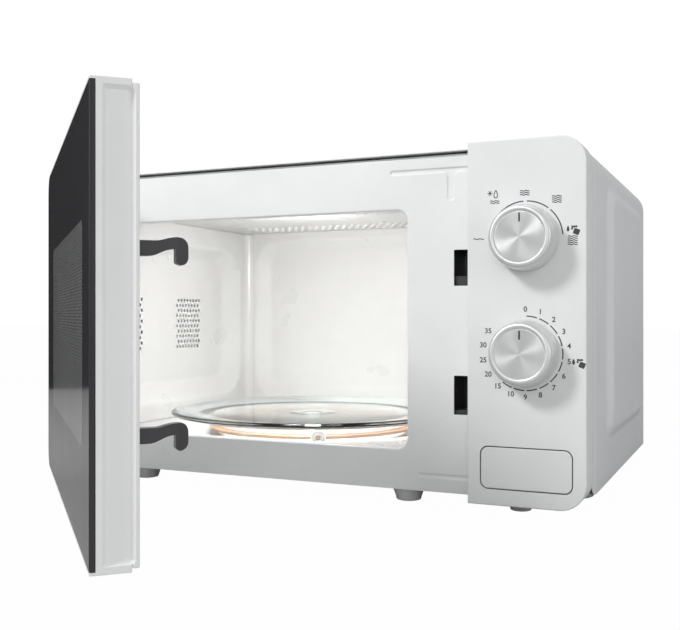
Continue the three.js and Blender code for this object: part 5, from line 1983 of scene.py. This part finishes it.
# ---------------------------------------------------------------- feet
@dataclass
class Feet:
    """Rubber feet: tapered ones, and a flanged one under the panel."""

    def build(self, shop: Workshop) -> None:
        """Draws all five feet."""
        for name in ("foot_front_left", "foot_front_middle", "foot_rear_left", "foot_rear_right"):
            self._foot(shop, name, self._tapered)
        self._foot(shop, "foot_front_right", self._flanged)

    @staticmethod
    def _tapered(r: float, h: float) -> list[Point2]:
        """Gives the outline of a plain foot of radius r and height h."""
        return [(0.01, 0), (r * 0.62, 0), (r * 0.68, 0.25), (r * 0.72, 0.9), (r * 0.74, 2.2),
                (r * 0.84, h * 0.5), (r * 0.95, h * 0.78), (r, h * 0.84), (r, h), (0.01, h)]

    @staticmethod
    def _flanged(r: float, h: float) -> list[Point2]:
        """Gives the outline of a foot with a flange, of radius r and height h."""
        return [(0.01, 0), (r * 0.66, 0), (r * 0.73, 0.25), (r * 0.77, 0.9), (r * 0.79, h * 0.45),
                (r * 0.86, h * 0.5), (r * 0.98, h * 0.52), (r, h * 0.57), (r, h), (0.01, h)]

    @staticmethod
    def _foot(shop: Workshop, name: str, profile: Callable[[float, float], list[Point2]]) -> None:
        """Draws one foot.

        Args:
            shop: The workshop that makes the pieces.
            name: The foot's node.
            profile: Gives the outline from a radius and a height.
        """
        lo, hi = shop.datum.span(name)
        form = Form()
        centre = ((lo.x + hi.x) / 2, (lo.y + hi.y) / 2)
        form.turned(profile((hi.x - lo.x) / 2, hi.z - lo.z), centre, across_z, 48)
        shop.piece(form, f"{name}_rubber", "cabinet", "foot_rubber", [name])


# ---------------------------------------------------------------- studio
@dataclass(frozen=True)
class Lamp:
    """One soft round light: where it hangs and what it points at in metres, its width and its watts."""

    name: str
    place: Point3
    target: Point3
    size: float
    power: float

    def hang(self) -> None:
        """Hangs the light."""
        data = bpy.data.lights.new(self.name, "AREA")
        data.shape, data.size, data.energy = "DISK", self.size, self.power
        lamp = bpy.data.objects.new(self.name, data)
        lamp.location = self.place
        lamp.rotation_euler = (Vector(self.target) - Vector(self.place)).to_track_quat("-Z", "Y").to_euler()
        bpy.context.scene.collection.objects.link(lamp)


@dataclass(frozen=True)
class Studio:
    """The pale floor, the soft lights, the black card and the camera."""

    camera_at: Point3 = (0.33154, -0.65037, 0.13822)
    camera_turn: float = 24.37
    lens: float = 49.17
    shift: float = -0.0025
    lamps: tuple[Lamp, ...] = (
        Lamp("key", (-0.75, -1.2, 1.25), (0.05, 0.05, 0.14), 0.42, 19.0),
        Lamp("top", (0.0, 0.2, 1.7), (0.0, 0.1, 0.1), 1.2, 5.0),
        Lamp("fill", (0.5, -1.4, 0.5), (0.05, 0.0, 0.12), 0.5, 2.2),
        Lamp("side", (1.5, -0.45, 0.4), (0.2, 0.15, 0.12), 0.9, 3.8),
        Lamp("oven_glow", (-0.03, 0.04, 0.20), (-0.09, 0.2, 0.06), 0.05, 0.56))

    def build(self) -> None:
        """Sets the stage."""
        self._camera()
        self._floor()
        self._sky()
        for lamp in self.lamps:
            lamp.hang()
        self._flag()

    def _camera(self) -> None:
        """Makes the camera."""
        data = bpy.data.cameras.new("camera")
        data.sensor_width, data.lens, data.shift_x = 36.0, self.lens, self.shift
        data.clip_start, data.clip_end = 0.01, 50.0
        camera = bpy.data.objects.new("camera", data)
        camera.location = self.camera_at
        camera.rotation_euler = (math.radians(90), 0.0, math.radians(self.camera_turn))
        bpy.context.scene.collection.objects.link(camera)
        bpy.context.scene.camera = camera

    @staticmethod
    def _card(name: str, corners: Sequence[Point3], grey: float) -> tuple[bpy.types.Object, Tree]:
        """Makes a flat matt card.

        Args:
            name: The card's name.
            corners: Its four corners in metres.
            grey: How light it is.

        Returns:
            The card, and the node tree of its material.
        """
        mesh = bpy.data.meshes.new(name)
        mesh.from_pydata(corners, [], [(0, 1, 2, 3)])
        card = bpy.data.objects.new(name, mesh)
        bpy.context.scene.collection.objects.link(card)
        material = bpy.data.materials.new(name)
        material.use_nodes = True
        t = Tree(material.node_tree)
        shader = t.tree.nodes["Principled BSDF"]
        shader.inputs["Base Color"].default_value = (grey, grey, grey, 1)
        shader.inputs["Roughness"].default_value = 0.9
        mesh.materials.append(material)
        return card, t

    def _floor(self) -> None:
        """Lays the floor, which looks white to the camera."""
        floor, t = self._card("floor", [(-9, -9, 0), (9, -9, 0), (9, 9, 0), (-9, 9, 0)], 0.42)
        glow = t.add("Emission", {"Color": (1.0, 1.0, 1.0), "Strength": 1.0})
        share = t.math("MULTIPLY", t.add("LightPath").outputs["Is Camera Ray"], 0.985)
        shader = t.tree.nodes["Principled BSDF"]
        mix = t.add("MixShader", {0: share, 1: shader.outputs[0], 2: glow.outputs[0]})
        t.tree.links.new(mix.outputs[0], t.tree.nodes["Material Output"].inputs["Surface"])

    def _flag(self) -> None:
        """Stands a black card at the side, which the dark pane mirrors."""
        corners = [(-1.5, -0.2, 0), (-0.5, 1.3, 0), (-0.5, 1.3, 1.3), (-1.5, -0.2, 1.3)]
        flag, _ = self._card("flag", corners, 0.01)
        flag.visible_camera = False

    @staticmethod
    def _sky() -> None:
        """Makes the white surround."""
        world = bpy.data.worlds.new("surround")
        world.use_nodes = True
        bpy.context.scene.world = world
        t = Tree(world.node_tree)
        back = t.tree.nodes["Background"]
        back.inputs["Color"].default_value = (1, 1, 1, 1)
        seen = t.add("LightPath").outputs["Is Camera Ray"]
        t.tree.links.new(t.math("MULTIPLY_ADD", seen, 0.55, 0.47), back.inputs["Strength"])


def main() -> None:
    """Builds the oven piece by piece and sets the stage."""
    logging.basicConfig(level=logging.INFO, format="%(message)s")
    bpy.context.scene.view_settings.view_transform = "Standard"
    shop = Workshop(Datum.from_frame())
    for part in (Casing(), BasePan(), BackPanel(), FrontPlate(), Cavity(), Turntable(),
                 ControlPanel(), Door(), Feet()):
        log.info("building %s", type(part).__name__)
        part.build(shop)
    Studio().build()


if __name__ == "__main__":
    main()
